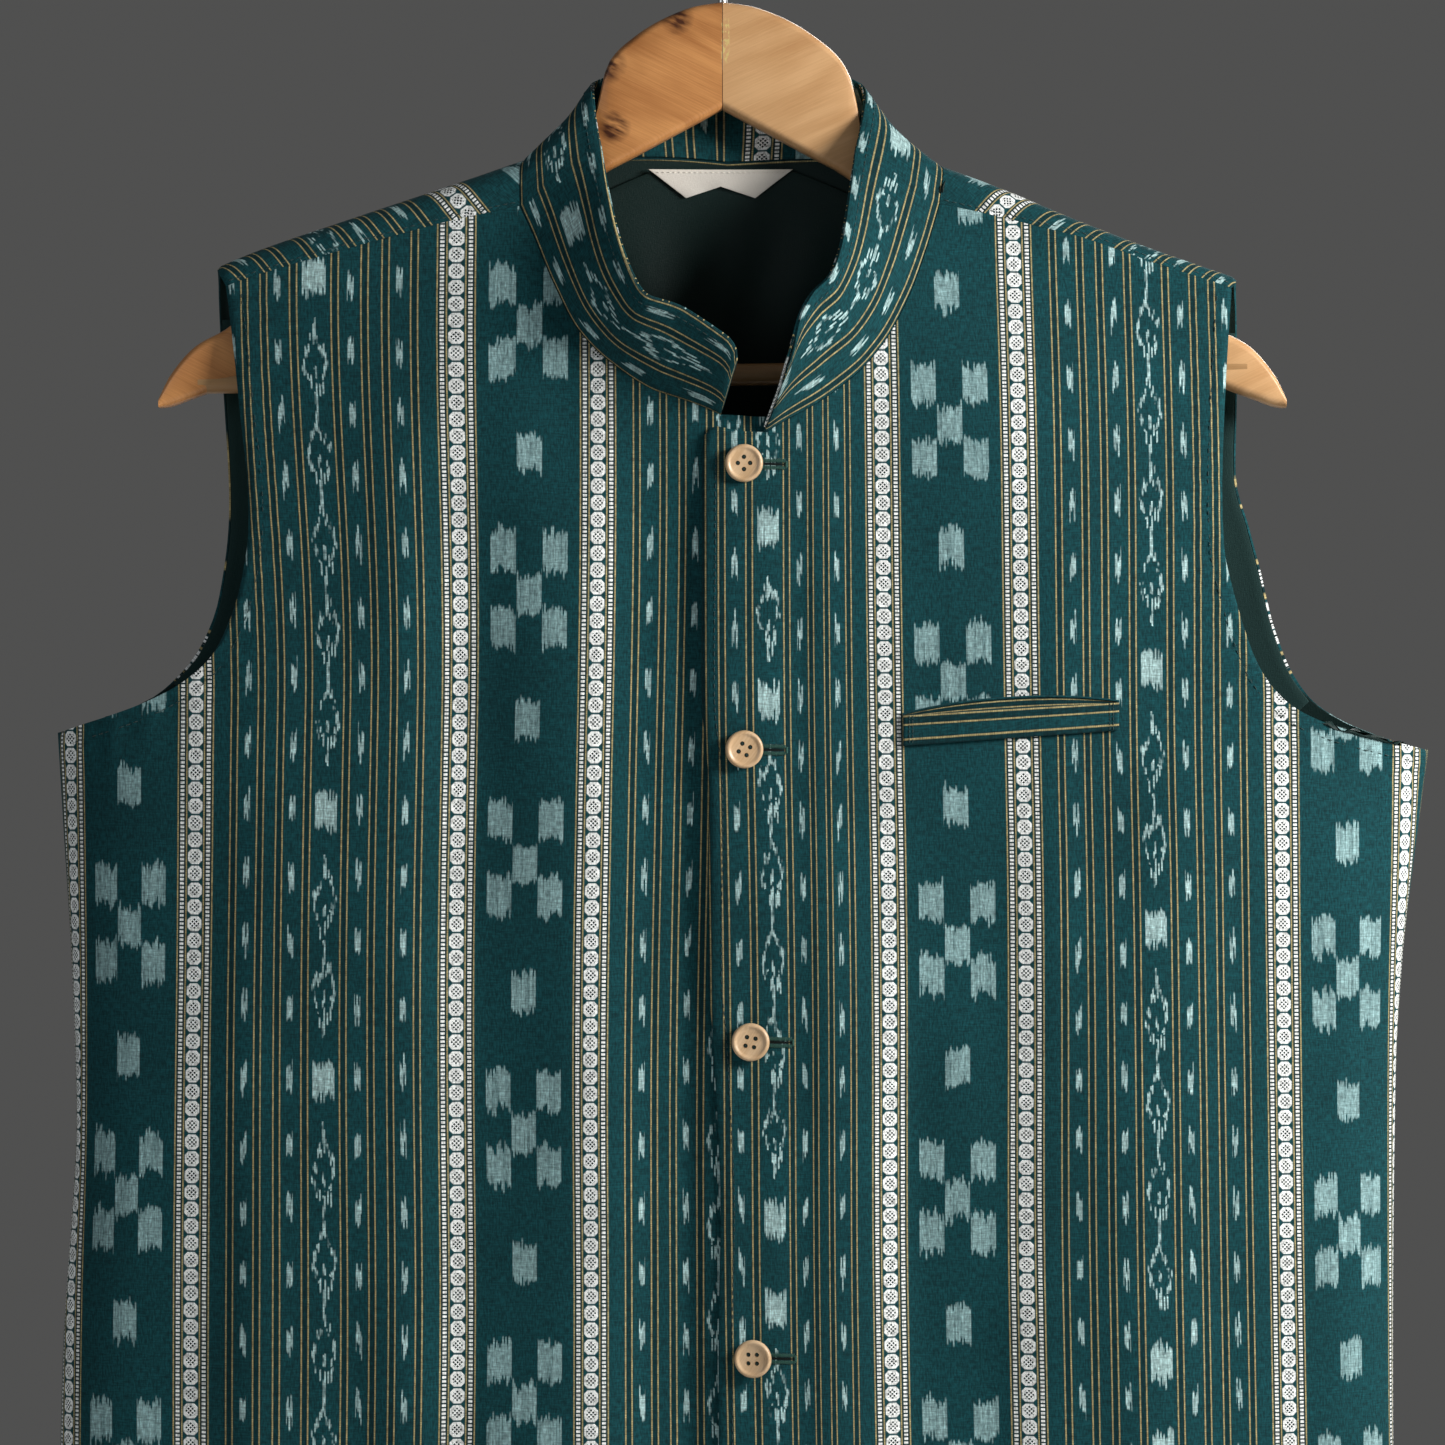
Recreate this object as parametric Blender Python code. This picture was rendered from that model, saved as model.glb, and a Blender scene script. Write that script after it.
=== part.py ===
# A sleeveless stand-collar jacket on a wooden hanger, cut piece by piece.
# Metres, +Z up. The origin is where the hook's bend rests on a rail.
# The fronts face -Y. Left and right in the names are the wearer's own, so the right front is at -X.

from math import acos, cos, exp, pi, radians, sin, sqrt

import bmesh
import bpy
from mathutils import Matrix, Vector

# Cloth
CLOTH = 0.0016          # wall of the body panels
LINING = 0.0009         # wall of facings and yoke lining
SEAM_GAP = 0.0003       # between pieces that meet edge to edge
LAYER_GAP = 0.0005      # between pieces that lie on each other
OVERLAP_LIFT = 0.0023   # how far the left front stands over the right front
FRONT = -1
BACK = 1

# Depth of the hanging body, from the plane of the hanger
FRONT_DEPTH = 0.034
BACK_DEPTH = 0.028
SHOULDER_RADIUS = 0.010
DEPTH_REACH = 0.080     # how far below the shoulder the full depth comes
SIDE_POWER = 5.0        # how flat the body is between its side seams

# Length
HEM_CENTRE = -0.862
HEM_SIDE = -0.857

# Line of the shoulders, seen from the front: x, z
SHOULDER_LINE = [
    (-0.3000, -0.2200), (-0.2103, -0.1827), (-0.1896, -0.1740), (-0.1547, -0.1620), (-0.1158, -0.1490),
    (-0.0821, -0.1374), (0.0000, -0.1084), (0.0909, -0.1401), (0.1166, -0.1498), (0.1414, -0.1602),
    (0.1738, -0.1727), (0.2103, -0.1855), (0.3000, -0.2200),
]

# Half width of the body at each side seam: z, x
RIGHT_SIDE = [
    (-0.3700, 0.2706), (-0.4177, 0.2677), (-0.4715, 0.2645), (-0.5387, 0.2631), (-0.6010, 0.2675),
    (-0.6600, 0.2694), (-0.8700, 0.2720),
]
LEFT_SIDE = [
    (-0.3770, 0.2873), (-0.4141, 0.2824), (-0.4662, 0.2763), (-0.5195, 0.2738), (-0.6600, 0.2730),
    (-0.8700, 0.2760),
]

# Neck seam and top edge of the collar, from the left front's end round the back to the right front's end:
# seam x, seam z, which side of the shoulder line, top x, top z, top's lean from the seam along y
COLLAR = [
    (0.0174, -0.2497, FRONT, 0.0290, -0.2165, -0.020),
    (0.0386, -0.2376, FRONT, 0.0318, -0.2040, -0.020),
    (0.0551, -0.2247, FRONT, 0.0368, -0.1945, -0.019),
    (0.0668, -0.2103, FRONT, 0.0440, -0.1870, -0.020),
    (0.0762, -0.1918, FRONT, 0.0485, -0.1735, -0.018),
    (0.0829, -0.1731, FRONT, 0.0512, -0.1560, -0.013),
    (0.0880, -0.1557, FRONT, 0.0540, -0.1345, -0.007),
    (0.0893, -0.1400, FRONT, 0.0588, -0.1120, 0.000),
    (0.0800, -0.1378, BACK, 0.0570, -0.1045, 0.004),
    (0.0608, -0.1372, BACK, 0.0450, -0.1010, 0.003),
    (0.0020, -0.1376, BACK, 0.0010, -0.0985, 0.002),
    (-0.0546, -0.1368, BACK, -0.0400, -0.1010, 0.003),
    (-0.0740, -0.1372, BACK, -0.0528, -0.1035, 0.004),
    (-0.0818, -0.1382, FRONT, -0.0538, -0.1095, 0.000),
    (-0.0822, -0.1567, FRONT, -0.0495, -0.1330, -0.007),
    (-0.0765, -0.1690, FRONT, -0.0470, -0.1500, -0.013),
    (-0.0686, -0.1878, FRONT, -0.0430, -0.1690, -0.018),
    (-0.0592, -0.2063, FRONT, -0.0372, -0.1865, -0.022),
    (-0.0470, -0.2195, FRONT, -0.0310, -0.1965, -0.024),
    (-0.0278, -0.2324, FRONT, -0.0155, -0.2020, -0.022),
    (-0.0010, -0.2425, FRONT, 0.0068, -0.2175, -0.022),
]
LEFT_NECK_END = 6       # rows of the table at which the front's neck edge meets the shoulder seam
RIGHT_NECK_END = 14
COLLAR_CORNER = 0.009
COLLAR_HEIGHT = 0.038
COLLAR_ROLL = 0.0015

# Shoulder seams, set forward of the shoulder line, neck to armhole: x, z
LEFT_SHOULDER_SEAM = [
    (0.0880, -0.1557), (0.1212, -0.1632), (0.1470, -0.1696), (0.1764, -0.1799), (0.2066, -0.1896),
]
RIGHT_SHOULDER_SEAM = [
    (-0.0822, -0.1567), (-0.1127, -0.1632), (-0.1486, -0.1729), (-0.1720, -0.1795), (-0.2014, -0.1890),
]

# Front armholes, shoulder to side seam: x, z
LEFT_FRONT_ARMHOLE = [
    (0.2066, -0.1896), (0.2030, -0.2363), (0.2012, -0.2685), (0.2018, -0.2971), (0.2068, -0.3188),
    (0.2135, -0.3390), (0.2204, -0.3508), (0.2288, -0.3590), (0.2404, -0.3652), (0.2600, -0.3710),
    (0.2873, -0.3770),
]
RIGHT_FRONT_ARMHOLE = [
    (-0.2014, -0.1890), (-0.1978, -0.2162), (-0.1944, -0.2444), (-0.1912, -0.2687), (-0.1908, -0.2927),
    (-0.1952, -0.3168), (-0.2040, -0.3372), (-0.2170, -0.3495), (-0.2332, -0.3580), (-0.2502, -0.3640),
    (-0.2706, -0.3700),
]

# Back armholes, shoulder line to side seam: x, z
LEFT_BACK_ARMHOLE = [
    (0.2103, -0.1855), (0.2108, -0.2300), (0.2112, -0.2659), (0.2165, -0.2844), (0.2215, -0.3026),
    (0.2268, -0.3250), (0.2342, -0.3446), (0.2445, -0.3586), (0.2620, -0.3690), (0.2873, -0.3770),
]
RIGHT_BACK_ARMHOLE = [
    (-0.2060, -0.1810), (-0.2050, -0.2200), (-0.2030, -0.2687), (-0.2040, -0.2927), (-0.2085, -0.3190),
    (-0.2157, -0.3359), (-0.2239, -0.3465), (-0.2360, -0.3570), (-0.2530, -0.3650), (-0.2706, -0.3700),
]

# Front edges, top to hem: x, z. The left front laps over the right one.
LEFT_FRONT_EDGE = [
    (-0.0025, -0.2472), (-0.0078, -0.2530), (-0.0084, -0.2953), (-0.0087, -0.3568), (-0.0055, -0.3935),
    (-0.0059, -0.4666), (-0.0038, -0.4941), (-0.0008, -0.5564), (-0.0016, -0.6215), (-0.0010, HEM_CENTRE),
]
UNDERLAP = 0.026        # x of the hidden edge of the right front
UNDERLAP_TOP = -0.2440

# Soft folds of the fronts: x at the top, z at the top, x at the bottom, z at the bottom, half width, depth
# A positive depth stands out, a negative one sinks in.
FOLDS = [
    (-0.030, -0.245, -0.022, -0.880, 0.016, -0.0030),
    (-0.070, -0.250, -0.060, -0.880, 0.030, 0.0022),
    (-0.165, -0.330, -0.150, -0.880, 0.040, 0.0026),
    (-0.225, -0.420, -0.215, -0.880, 0.026, -0.0022),
    (0.050, -0.440, 0.058, -0.880, 0.022, 0.0030),
    (0.100, -0.390, 0.095, -0.880, 0.028, -0.0020),
    (0.168, -0.400, 0.160, -0.880, 0.034, 0.0030),
    (0.232, -0.400, 0.222, -0.880, 0.024, -0.0022),
]
FOLD_FADE = 0.060       # length over which a fold dies out at its top

# Soft folds of the back, in the same columns
BACK_FOLDS = [
    (-0.060, -0.430, -0.085, -0.880, 0.034, 0.0040),
    (0.010, -0.440, 0.000, -0.880, 0.030, -0.0030),
    (0.080, -0.430, 0.100, -0.880, 0.036, 0.0036),
    (-0.175, -0.470, -0.170, -0.880, 0.032, -0.0026),
    (0.185, -0.460, 0.180, -0.880, 0.032, -0.0026),
]

# Welt pocket on the left chest: corners x, z
WELT_TOP_INNER = (0.0721, -0.3628)
WELT_TOP_OUTER = (0.1587, -0.3576)
WELT_HEIGHT_INNER = 0.0125
WELT_HEIGHT_OUTER = 0.0115
WELT_WALL = 0.0018
WELT_GAPE = 0.0014     # how far its top edge stands off in the middle

# Label inside the back neck
LABEL_HALF_WIDTH = 0.0298
LABEL_CENTRE = -0.0008
LABEL_TOP = -0.1392
LABEL_HEIGHT = 0.0114
LABEL_NOTCH = 0.0046
LABEL_WALL = 0.0007

# Buttons: x, z, turn of the holes, tilt towards the side
BUTTONS = [
    (0.0086, -0.2622, 0.0, 0.0),
    (0.0087, -0.3765, 20.0, 4.0),
    (0.0113, -0.4934, 35.0, -4.0),
    (0.0123, -0.6200, 45.0, -12.0),
    (0.0120, -0.7400, 10.0, 0.0),
]
BUTTON_RADIUS = 0.0076
BUTTON_THICKNESS = 0.0030
BUTTON_HOLE_RING = 0.00245
BUTTON_HOLE_RADIUS = 0.0010

# Hanger
ARM_THICKNESS = 0.011
ARM_BEVEL = 0.0035
ARM_END_SWEEP = 0.001    # how far the tips come forward
ARM_TIP = 0.229
ARM_UNDER_CLOTH = 0.090  # from here out the arm carries the shoulder
ARM_SEAT = 0.0041        # from the outside of the cloth down to the arm that carries it
ARM_OUTER_TOP = [
    (0.0700, -0.1405), (0.0830, -0.1525), (0.0960, -0.1535), (0.1160, -0.1542), (0.1300, -0.1582),
    (0.1550, -0.1668), (0.1700, -0.1740), (0.1850, -0.1860), (0.1988, -0.2035), (0.2149, -0.2134),
    (0.2250, -0.2255), (0.2290, -0.2345),
]
LEFT_ARM_TOP = [
    (0.0000, -0.0728), (0.0128, -0.0748), (0.0259, -0.0798), (0.0370, -0.0865), (0.0470, -0.0950),
    (0.0516, -0.1025), (0.0538, -0.1100), (0.0550, -0.1175), (0.0566, -0.1235), (0.0610, -0.1297),
] + ARM_OUTER_TOP
RIGHT_ARM_TOP = [
    (0.0000, -0.0728), (0.0128, -0.0750), (0.0259, -0.0805), (0.0360, -0.0870), (0.0452, -0.0957),
    (0.0488, -0.1045), (0.0506, -0.1140), (0.0533, -0.1212), (0.0600, -0.1285),
] + ARM_OUTER_TOP
ARM_BOTTOM = [
    (0.0000, -0.1164), (0.0120, -0.1229), (0.0230, -0.1288), (0.0350, -0.1353), (0.0480, -0.1423),
    (0.0600, -0.1515),
    (0.0760, -0.1660), (0.0960, -0.1740), (0.1160, -0.1800), (0.1550, -0.1990), (0.1760, -0.2140),
    (0.1982, -0.2272), (0.2183, -0.2352), (0.2250, -0.2375), (0.2290, -0.2378),
]
BAR_RADIUS = 0.0045
BAR_END = 0.2130
BAR_HEIGHT = -0.2245
BAR_DROP = 0.0150       # fall of the bar along x, towards the right arm
BAR_Y = -0.0020
WIRE_RADIUS = 0.0019
HOOK_INNER_RADIUS = 0.0210
HOOK_FOOT = -0.0880
BORE_CLEARANCE = 0.0003


# Small tools

def curve_value(table, at):
    """Smooth curve through the rows of a table, ordered by its first column."""
    rows = sorted(table)
    if at <= rows[0][0]:
        return rows[0][1]
    if at >= rows[-1][0]:
        return rows[-1][1]
    slopes = []
    for i in range(len(rows)):
        low = rows[max(i - 1, 0)]
        high = rows[min(i + 1, len(rows) - 1)]
        slopes.append((high[1] - low[1]) / (high[0] - low[0]))
    for i in range(len(rows) - 1):
        if at <= rows[i + 1][0]:
            break
    width = rows[i + 1][0] - rows[i][0]
    t = (at - rows[i][0]) / width
    ease = t * t * (3 - 2 * t)
    bend = width * (t * (1 - t) ** 2 * slopes[i] - t * t * (1 - t) * slopes[i + 1])
    return rows[i][1] * (1 - ease) + rows[i + 1][1] * ease + bend


def along(points, share):
    """Point at a share of the length of a smooth curve through some points of any dimension."""
    points = [Vector(p) for p in points]
    lengths = [0.0]
    for a, b in zip(points, points[1:]):
        lengths.append(lengths[-1] + (b - a).length)
    at = min(max(share, 0.0), 1.0) * lengths[-1]
    i = 0
    while i < len(points) - 2 and at > lengths[i + 1]:
        i += 1
    t = (at - lengths[i]) / (lengths[i + 1] - lengths[i])
    before = points[max(i - 1, 0)]
    a = points[i]
    b = points[i + 1]
    after = points[min(i + 2, len(points) - 1)]
    straight = a.lerp(b, t)
    bend_a = (b - before) * 0.5
    bend_b = (after - a) * 0.5
    curved = (a * (2 * t ** 3 - 3 * t ** 2 + 1) + bend_a * (t ** 3 - 2 * t ** 2 + t)
              + b * (3 * t ** 2 - 2 * t ** 3) + bend_b * (t ** 3 - t ** 2))
    return straight.lerp(curved, 0.8)


def smooth_step(low, high, value):
    t = min(max((value - low) / (high - low), 0.0), 1.0)
    return t * t * (3 - 2 * t)


# Form of the hanging body

def shoulder_z(x):
    return curve_value(SHOULDER_LINE, x)


def half_width(x, z):
    side = LEFT_SIDE if x > 0 else RIGHT_SIDE
    return curve_value(side, z)


def fold_height(folds, x, z):
    """How far the folds push the cloth out at a place."""
    total = 0.0
    for top_x, top_z, bottom_x, bottom_z, width, depth in folds:
        run = (top_z - z) / (top_z - bottom_z)
        centre = top_x + (bottom_x - top_x) * run
        fade = smooth_step(top_z + FOLD_FADE * 0.5, top_z - FOLD_FADE, z)
        total += depth * fade * exp(-((x - centre) / width) ** 2)
    return total


def body_point(x, z, side):
    """Outer surface of the body, in front of or behind the line of the shoulders."""
    drop = max(shoulder_z(x) - z, 0.0)
    depth = FRONT_DEPTH if side == FRONT else BACK_DEPTH
    turn = min(drop / SHOULDER_RADIUS, 1.0)
    rounded = SHOULDER_RADIUS * sqrt(max(1 - (1 - turn) ** 2, 0.0))
    y = rounded + (depth - SHOULDER_RADIUS) * (1 - exp(-(drop / DEPTH_REACH) ** 2))
    ratio = min(abs(x) / half_width(x, z), 1.0)
    to_side = sqrt(1 - ratio ** SIDE_POWER)
    folds = FOLDS if side == FRONT else BACK_FOLDS
    y = y * to_side + fold_height(folds, x, z) * to_side
    return Vector((x, side * y, z))


# Wrapped height: zero on the shoulder line, negative down the back, positive down the front

def wrapped_from(x, z, side):
    drop = max(shoulder_z(x) - z, 0.0)
    if drop < SHOULDER_RADIUS:
        length = SHOULDER_RADIUS * acos(1 - drop / SHOULDER_RADIUS)
    else:
        length = SHOULDER_RADIUS * pi / 2 + drop - SHOULDER_RADIUS
    return -side * length


def wrapped_z(x, height):
    length = abs(height)
    if length < SHOULDER_RADIUS * pi / 2:
        drop = SHOULDER_RADIUS * (1 - cos(length / SHOULDER_RADIUS))
    else:
        drop = length - SHOULDER_RADIUS * pi / 2 + SHOULDER_RADIUS
    return shoulder_z(x) - drop


def wrapped_point(x, height):
    return body_point(x, wrapped_z(x, height), FRONT if height > 0 else BACK)


def wall_point(x, height, depth):
    """A point this far inside the body's outer surface."""
    step = 0.0008
    across = wrapped_point(x + step, height) - wrapped_point(x - step, height)
    upward = wrapped_point(x, height + step) - wrapped_point(x, height - step)
    return wrapped_point(x, height) + across.cross(upward).normalized() * depth


def under_body(x, z, side, depth):
    return wall_point(x, wrapped_from(x, z, side), depth)


# Making meshes

def material(name, colour, roughness, metallic=0.0):
    made = bpy.data.materials.new(name)
    made.use_nodes = True
    shader = made.node_tree.nodes["Principled BSDF"]
    shader.inputs["Base Color"].default_value = (*colour, 1.0)
    shader.inputs["Roughness"].default_value = roughness
    shader.inputs["Metallic"].default_value = metallic
    return made


def finish_object(name, made_mesh, finish):
    bmesh.ops.recalc_face_normals(made_mesh, faces=made_mesh.faces)
    mesh = bpy.data.meshes.new(name)
    made_mesh.to_mesh(mesh)
    made_mesh.free()
    made = bpy.data.objects.new(name, mesh)
    bpy.context.collection.objects.link(made)
    mesh.materials.append(finish)
    mesh.shade_smooth()
    mesh.set_sharp_from_angle(angle=radians(40))
    return made


def sheet_wall(name, columns, rows, place, outer_depth, thickness, finish):
    """A closed wall between two skins of one surface; place gives a point for two shares and a depth."""
    wall = bmesh.new()
    for depth in (outer_depth, outer_depth + thickness):
        skin = bmesh.ops.create_grid(wall, x_segments=columns, y_segments=rows, size=1.0)["verts"]
        for vert in skin:
            s = min(max((vert.co.x + 1) / 2, 0.0), 1.0)
            t = min(max((1 - vert.co.y) / 2, 0.0), 1.0)
            vert.co = place(s, t, depth)
    rim = [edge for edge in wall.edges if edge.is_boundary]
    bmesh.ops.bridge_loops(wall, edges=rim)
    return finish_object(name, wall, finish)


def loft(rings):
    """Skin over a row of closed rings, capped at both ends."""
    made = bmesh.new()
    loops = []
    for ring in rings:
        verts = [made.verts.new(point) for point in ring]
        edges = [made.edges.new((verts[i - 1], verts[i])) for i in range(len(verts))]
        loops.append(edges)
    for one, other in zip(loops, loops[1:]):
        bmesh.ops.bridge_loops(made, edges=one + other)
    for end in (loops[0], loops[-1]):
        bmesh.ops.contextual_create(made, geom=end)
    return made


def patch(top, bottom, left, right, ease):
    """Surface stretched between four edges, each a function of a share from 0 to 1."""
    def place(s, t):
        across = ease(s)
        rails = top(s) * (1 - t) + bottom(s) * t
        sides = left(t) * (1 - across) + right(t) * across
        corners = ((top(0) * (1 - across) + top(1) * across) * (1 - t)
                   + (bottom(0) * (1 - across) + bottom(1) * across) * t)
        return rails + sides - corners
    return place


def bunch_to_end(share, power):
    """Spread of grid lines that grow closer towards 1."""
    return 1 - (1 - share) ** power


def runs(curves, splits):
    """One edge made of several curves, which meet at shares of the way."""
    stops = [0.0] + splits + [1.0]

    def edge(share):
        for i in range(len(curves)):
            if share <= stops[i + 1] + 1e-9:
                return along(curves[i], (share - stops[i]) / (stops[i + 1] - stops[i]))
        return along(curves[-1], 1.0)
    return edge


def side_edge(x_sign, table, top_z):
    """Points down a side seam."""
    steps = 12
    points = []
    for i in range(steps + 1):
        z = top_z + (HEM_SIDE - top_z) * i / steps
        points.append((x_sign * curve_value(table, z), z))
    return points


# Body panels, laid out flat: x, and height wrapped over the shoulder line

ARMHOLE_SHARE = 10 / 27         # part of a front's rows that lies beside the armhole
LEAD_COLUMNS = 2                # columns of a front before its neck edge starts
NECK_COLUMNS = 7                # columns of a front under the collar
FRONT_COLUMNS = 16
FRONT_ROWS = 27
SIDE_BUNCH = 1.5
BACK_ARMHOLE_SHARE = 13 / 28
BACK_TOP_BUNCH = 1.7            # rows of the back lie closer where it turns over the shoulders
SHOULDER_COLUMNS = 10           # columns of the back under each shoulder seam
BACK_NECK_COLUMNS = 12
BACK_COLUMNS = 2 * SHOULDER_COLUMNS + BACK_NECK_COLUMNS
BACK_ROWS = 28


def wrapped(points, side):
    return [(x, wrapped_from(x, z, side)) for x, z in points]


def neck_runs():
    """Neck seam in three runs: left front, back and right front."""
    flat = [(row[0], wrapped_from(row[0], row[1], row[2])) for row in COLLAR]
    return flat[:LEFT_NECK_END + 1], flat[LEFT_NECK_END:RIGHT_NECK_END + 1], flat[RIGHT_NECK_END:]


def hem_points(start_x, end_x, start_z, side):
    steps = 10
    points = []
    for i in range(steps + 1):
        share = i / steps
        points.append((start_x + (end_x - start_x) * share, start_z + (HEM_SIDE - start_z) * share ** 2))
    return wrapped(points, side)


def front_panel(name, x_sign, lead, neck, shoulder, armhole, side_table, inner_edge, lift_over, finish):
    """One front, from its front edge to its side seam."""
    side = side_edge(x_sign, side_table, armhole[-1][1])
    neck_end = LEAD_COLUMNS + NECK_COLUMNS
    top = runs([wrapped(lead, FRONT) + [neck[0]], neck, wrapped(shoulder, FRONT)],
               [LEAD_COLUMNS / FRONT_COLUMNS, neck_end / FRONT_COLUMNS])
    outer = runs([wrapped(armhole, FRONT), wrapped(side, FRONT)], [ARMHOLE_SHARE])
    inner = wrapped(inner_edge, FRONT)
    hem = hem_points(inner_edge[-1][0], side[-1][0], inner_edge[-1][1], FRONT)

    def ease(share):
        return bunch_to_end(share, SIDE_BUNCH)

    flat = patch(top, lambda share: along(hem, ease(share)), lambda share: along(inner, share),
                 outer, ease)

    def place(s, t, depth):
        spot = flat(s, t)
        if s == 1 and t > ARMHOLE_SHARE - 0.001:
            return Vector((spot.x - x_sign * depth, -SEAM_GAP / 2, wrapped_z(spot.x, spot.y)))
        height = spot.y + (SEAM_GAP if t == 0 else 0.0)
        point = wall_point(spot.x, height, depth)
        point.y = min(point.y, -SEAM_GAP / 2) - lift_over(spot.x)
        return point

    return sheet_wall(name, FRONT_COLUMNS, FRONT_ROWS, place, 0.0, CLOTH, finish)


def left_front_lift(x):
    """The left front stands off the right one where it laps over it."""
    return OVERLAP_LIFT * (1 - smooth_step(0.030, 0.062, x))


def no_lift(x):
    return 0.0


def build_fronts(finish):
    left_neck, _, right_neck = neck_runs()
    left_lead = [LEFT_FRONT_EDGE[0], (0.0070, -0.2492)]
    front_panel("front_left", 1, left_lead, left_neck, LEFT_SHOULDER_SEAM, LEFT_FRONT_ARMHOLE, LEFT_SIDE,
                LEFT_FRONT_EDGE, left_front_lift, finish)
    under_edge = [(UNDERLAP, UNDERLAP_TOP), (UNDERLAP, -0.45), (UNDERLAP, HEM_CENTRE + 0.002)]
    right_lead = [under_edge[0], (0.0120, -0.2432)]
    front_panel("front_right", -1, right_lead, right_neck[::-1], RIGHT_SHOULDER_SEAM,
                RIGHT_FRONT_ARMHOLE, RIGHT_SIDE, under_edge, no_lift, finish)


def build_back(finish):
    """The back runs up over the shoulders and down to the seams that are set forward of them."""
    neck = neck_runs()[1]
    left_seam = wrapped(LEFT_SHOULDER_SEAM, FRONT)
    right_seam = wrapped(RIGHT_SHOULDER_SEAM, FRONT)
    left_hole = [left_seam[-1], (0.2095, 0.0)] + wrapped(LEFT_BACK_ARMHOLE[1:], BACK)
    right_hole = [right_seam[-1], (-0.2060, 0.0)] + wrapped(RIGHT_BACK_ARMHOLE[1:], BACK)
    left_side = side_edge(1, LEFT_SIDE, LEFT_BACK_ARMHOLE[-1][1])
    right_side = side_edge(-1, RIGHT_SIDE, RIGHT_BACK_ARMHOLE[-1][1])
    shoulder_share = SHOULDER_COLUMNS / BACK_COLUMNS
    top = runs([right_seam[::-1], neck[::-1], left_seam], [shoulder_share, 1 - shoulder_share])
    armhole_end = BACK_ARMHOLE_SHARE ** BACK_TOP_BUNCH
    right = runs([right_hole, wrapped(right_side, BACK)], [armhole_end])
    left = runs([left_hole, wrapped(left_side, BACK)], [armhole_end])
    hem = hem_points(right_side[-1][0], left_side[-1][0], HEM_SIDE, BACK)

    def ease(share):
        centred = 2 * share - 1
        return (1 + bunch_to_end(abs(centred), 1.35) * (1 if centred > 0 else -1)) / 2

    flat = patch(top, lambda share: along(hem, ease(share)), right, left, ease)

    def place(s, t, depth):
        spot = flat(s, t ** BACK_TOP_BUNCH)
        if s in (0.0, 1.0) and t > BACK_ARMHOLE_SHARE - 0.001:
            inward = depth if s == 0.0 else -depth
            return Vector((spot.x + inward, SEAM_GAP / 2, wrapped_z(spot.x, spot.y)))
        if t > 0:
            return wall_point(spot.x, spot.y, depth)
        on_shoulder = smooth_step(0.072, 0.080, abs(spot.x)) * (1 if spot.x > 0 else -1)
        return wall_point(spot.x + 2 * SEAM_GAP * on_shoulder, spot.y - SEAM_GAP, depth)

    return sheet_wall("back", BACK_COLUMNS, BACK_ROWS, place, 0.0, CLOTH, finish)


# Collar, facings, lining and label

COLLAR_WALL = 0.0013
COLLAR_INNER_WALL = 0.0011
COLLAR_COLUMNS = 2 * NECK_COLUMNS + BACK_NECK_COLUMNS
COLLAR_ROWS = 3
FACING_WIDTH = 0.026
YOKE_HALF_WIDTH = 0.160
YOKE_BOTTOM = -0.365
YOKE_TOP_DROP = 0.026   # how far below the shoulder line the yoke lining starts


def collar_surface(start_gap):
    """Outer surface of the collar for a share round the neck, a share of its height and a depth."""
    tops = []
    for x, z, side, top_x, top_z, lean in COLLAR:
        tops.append(Vector((top_x, body_point(x, z, side).y + lean, top_z)))
    splits = [NECK_COLUMNS / COLLAR_COLUMNS, 1 - NECK_COLUMNS / COLLAR_COLUMNS]
    seam = runs(list(neck_runs()), splits)
    edge = runs([tops[:LEFT_NECK_END + 1], tops[LEFT_NECK_END:RIGHT_NECK_END + 1],
                 tops[RIGHT_NECK_END:]], splits)

    def foot(around):
        flat = seam(around)
        point = wrapped_point(flat.x, flat.y)
        if flat.y > 0:
            point.y -= left_front_lift(flat.x) if flat.x > 0 else 0.0
        return point

    def spot(around, up):
        low = foot(around)
        to_end = min((low - foot(0)).length, (low - foot(1)).length)
        reach = 1.0
        if to_end < COLLAR_CORNER:
            inside = 1 - to_end / COLLAR_CORNER
            reach = 1 - COLLAR_CORNER / COLLAR_HEIGHT * (1 - sqrt(max(1 - inside ** 2, 0.0)))
        start = start_gap / COLLAR_HEIGHT
        share = start + (reach - start) * up
        outward = Vector((low.x, low.y - 0.006, 0.0)).normalized()
        return low.lerp(edge(around), share) + outward * COLLAR_ROLL * sin(pi * share)

    def place(around, up, depth):
        step = 0.004
        low = max(around - step, 0.0)
        high = min(around + step, 1.0)
        across = spot(high, 0.5) - spot(low, 0.5)
        upward = spot(around, 1.0) - spot(around, 0.0)
        normal = across.cross(upward).normalized()
        return spot(around, up) - normal * depth
    return place


def build_collar(finish):
    outer = collar_surface(SEAM_GAP * 2)
    inner = collar_surface(SEAM_GAP * 5)
    inner_depth = COLLAR_WALL + LAYER_GAP
    sheet_wall("collar", COLLAR_COLUMNS, COLLAR_ROWS, lambda s, t, depth: outer(s, 1 - t, depth),
               0.0, COLLAR_WALL, finish)
    sheet_wall("collar_inner", COLLAR_COLUMNS, COLLAR_ROWS, lambda s, t, depth: inner(s, 1 - t, depth),
               inner_depth, COLLAR_INNER_WALL, finish)


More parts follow.
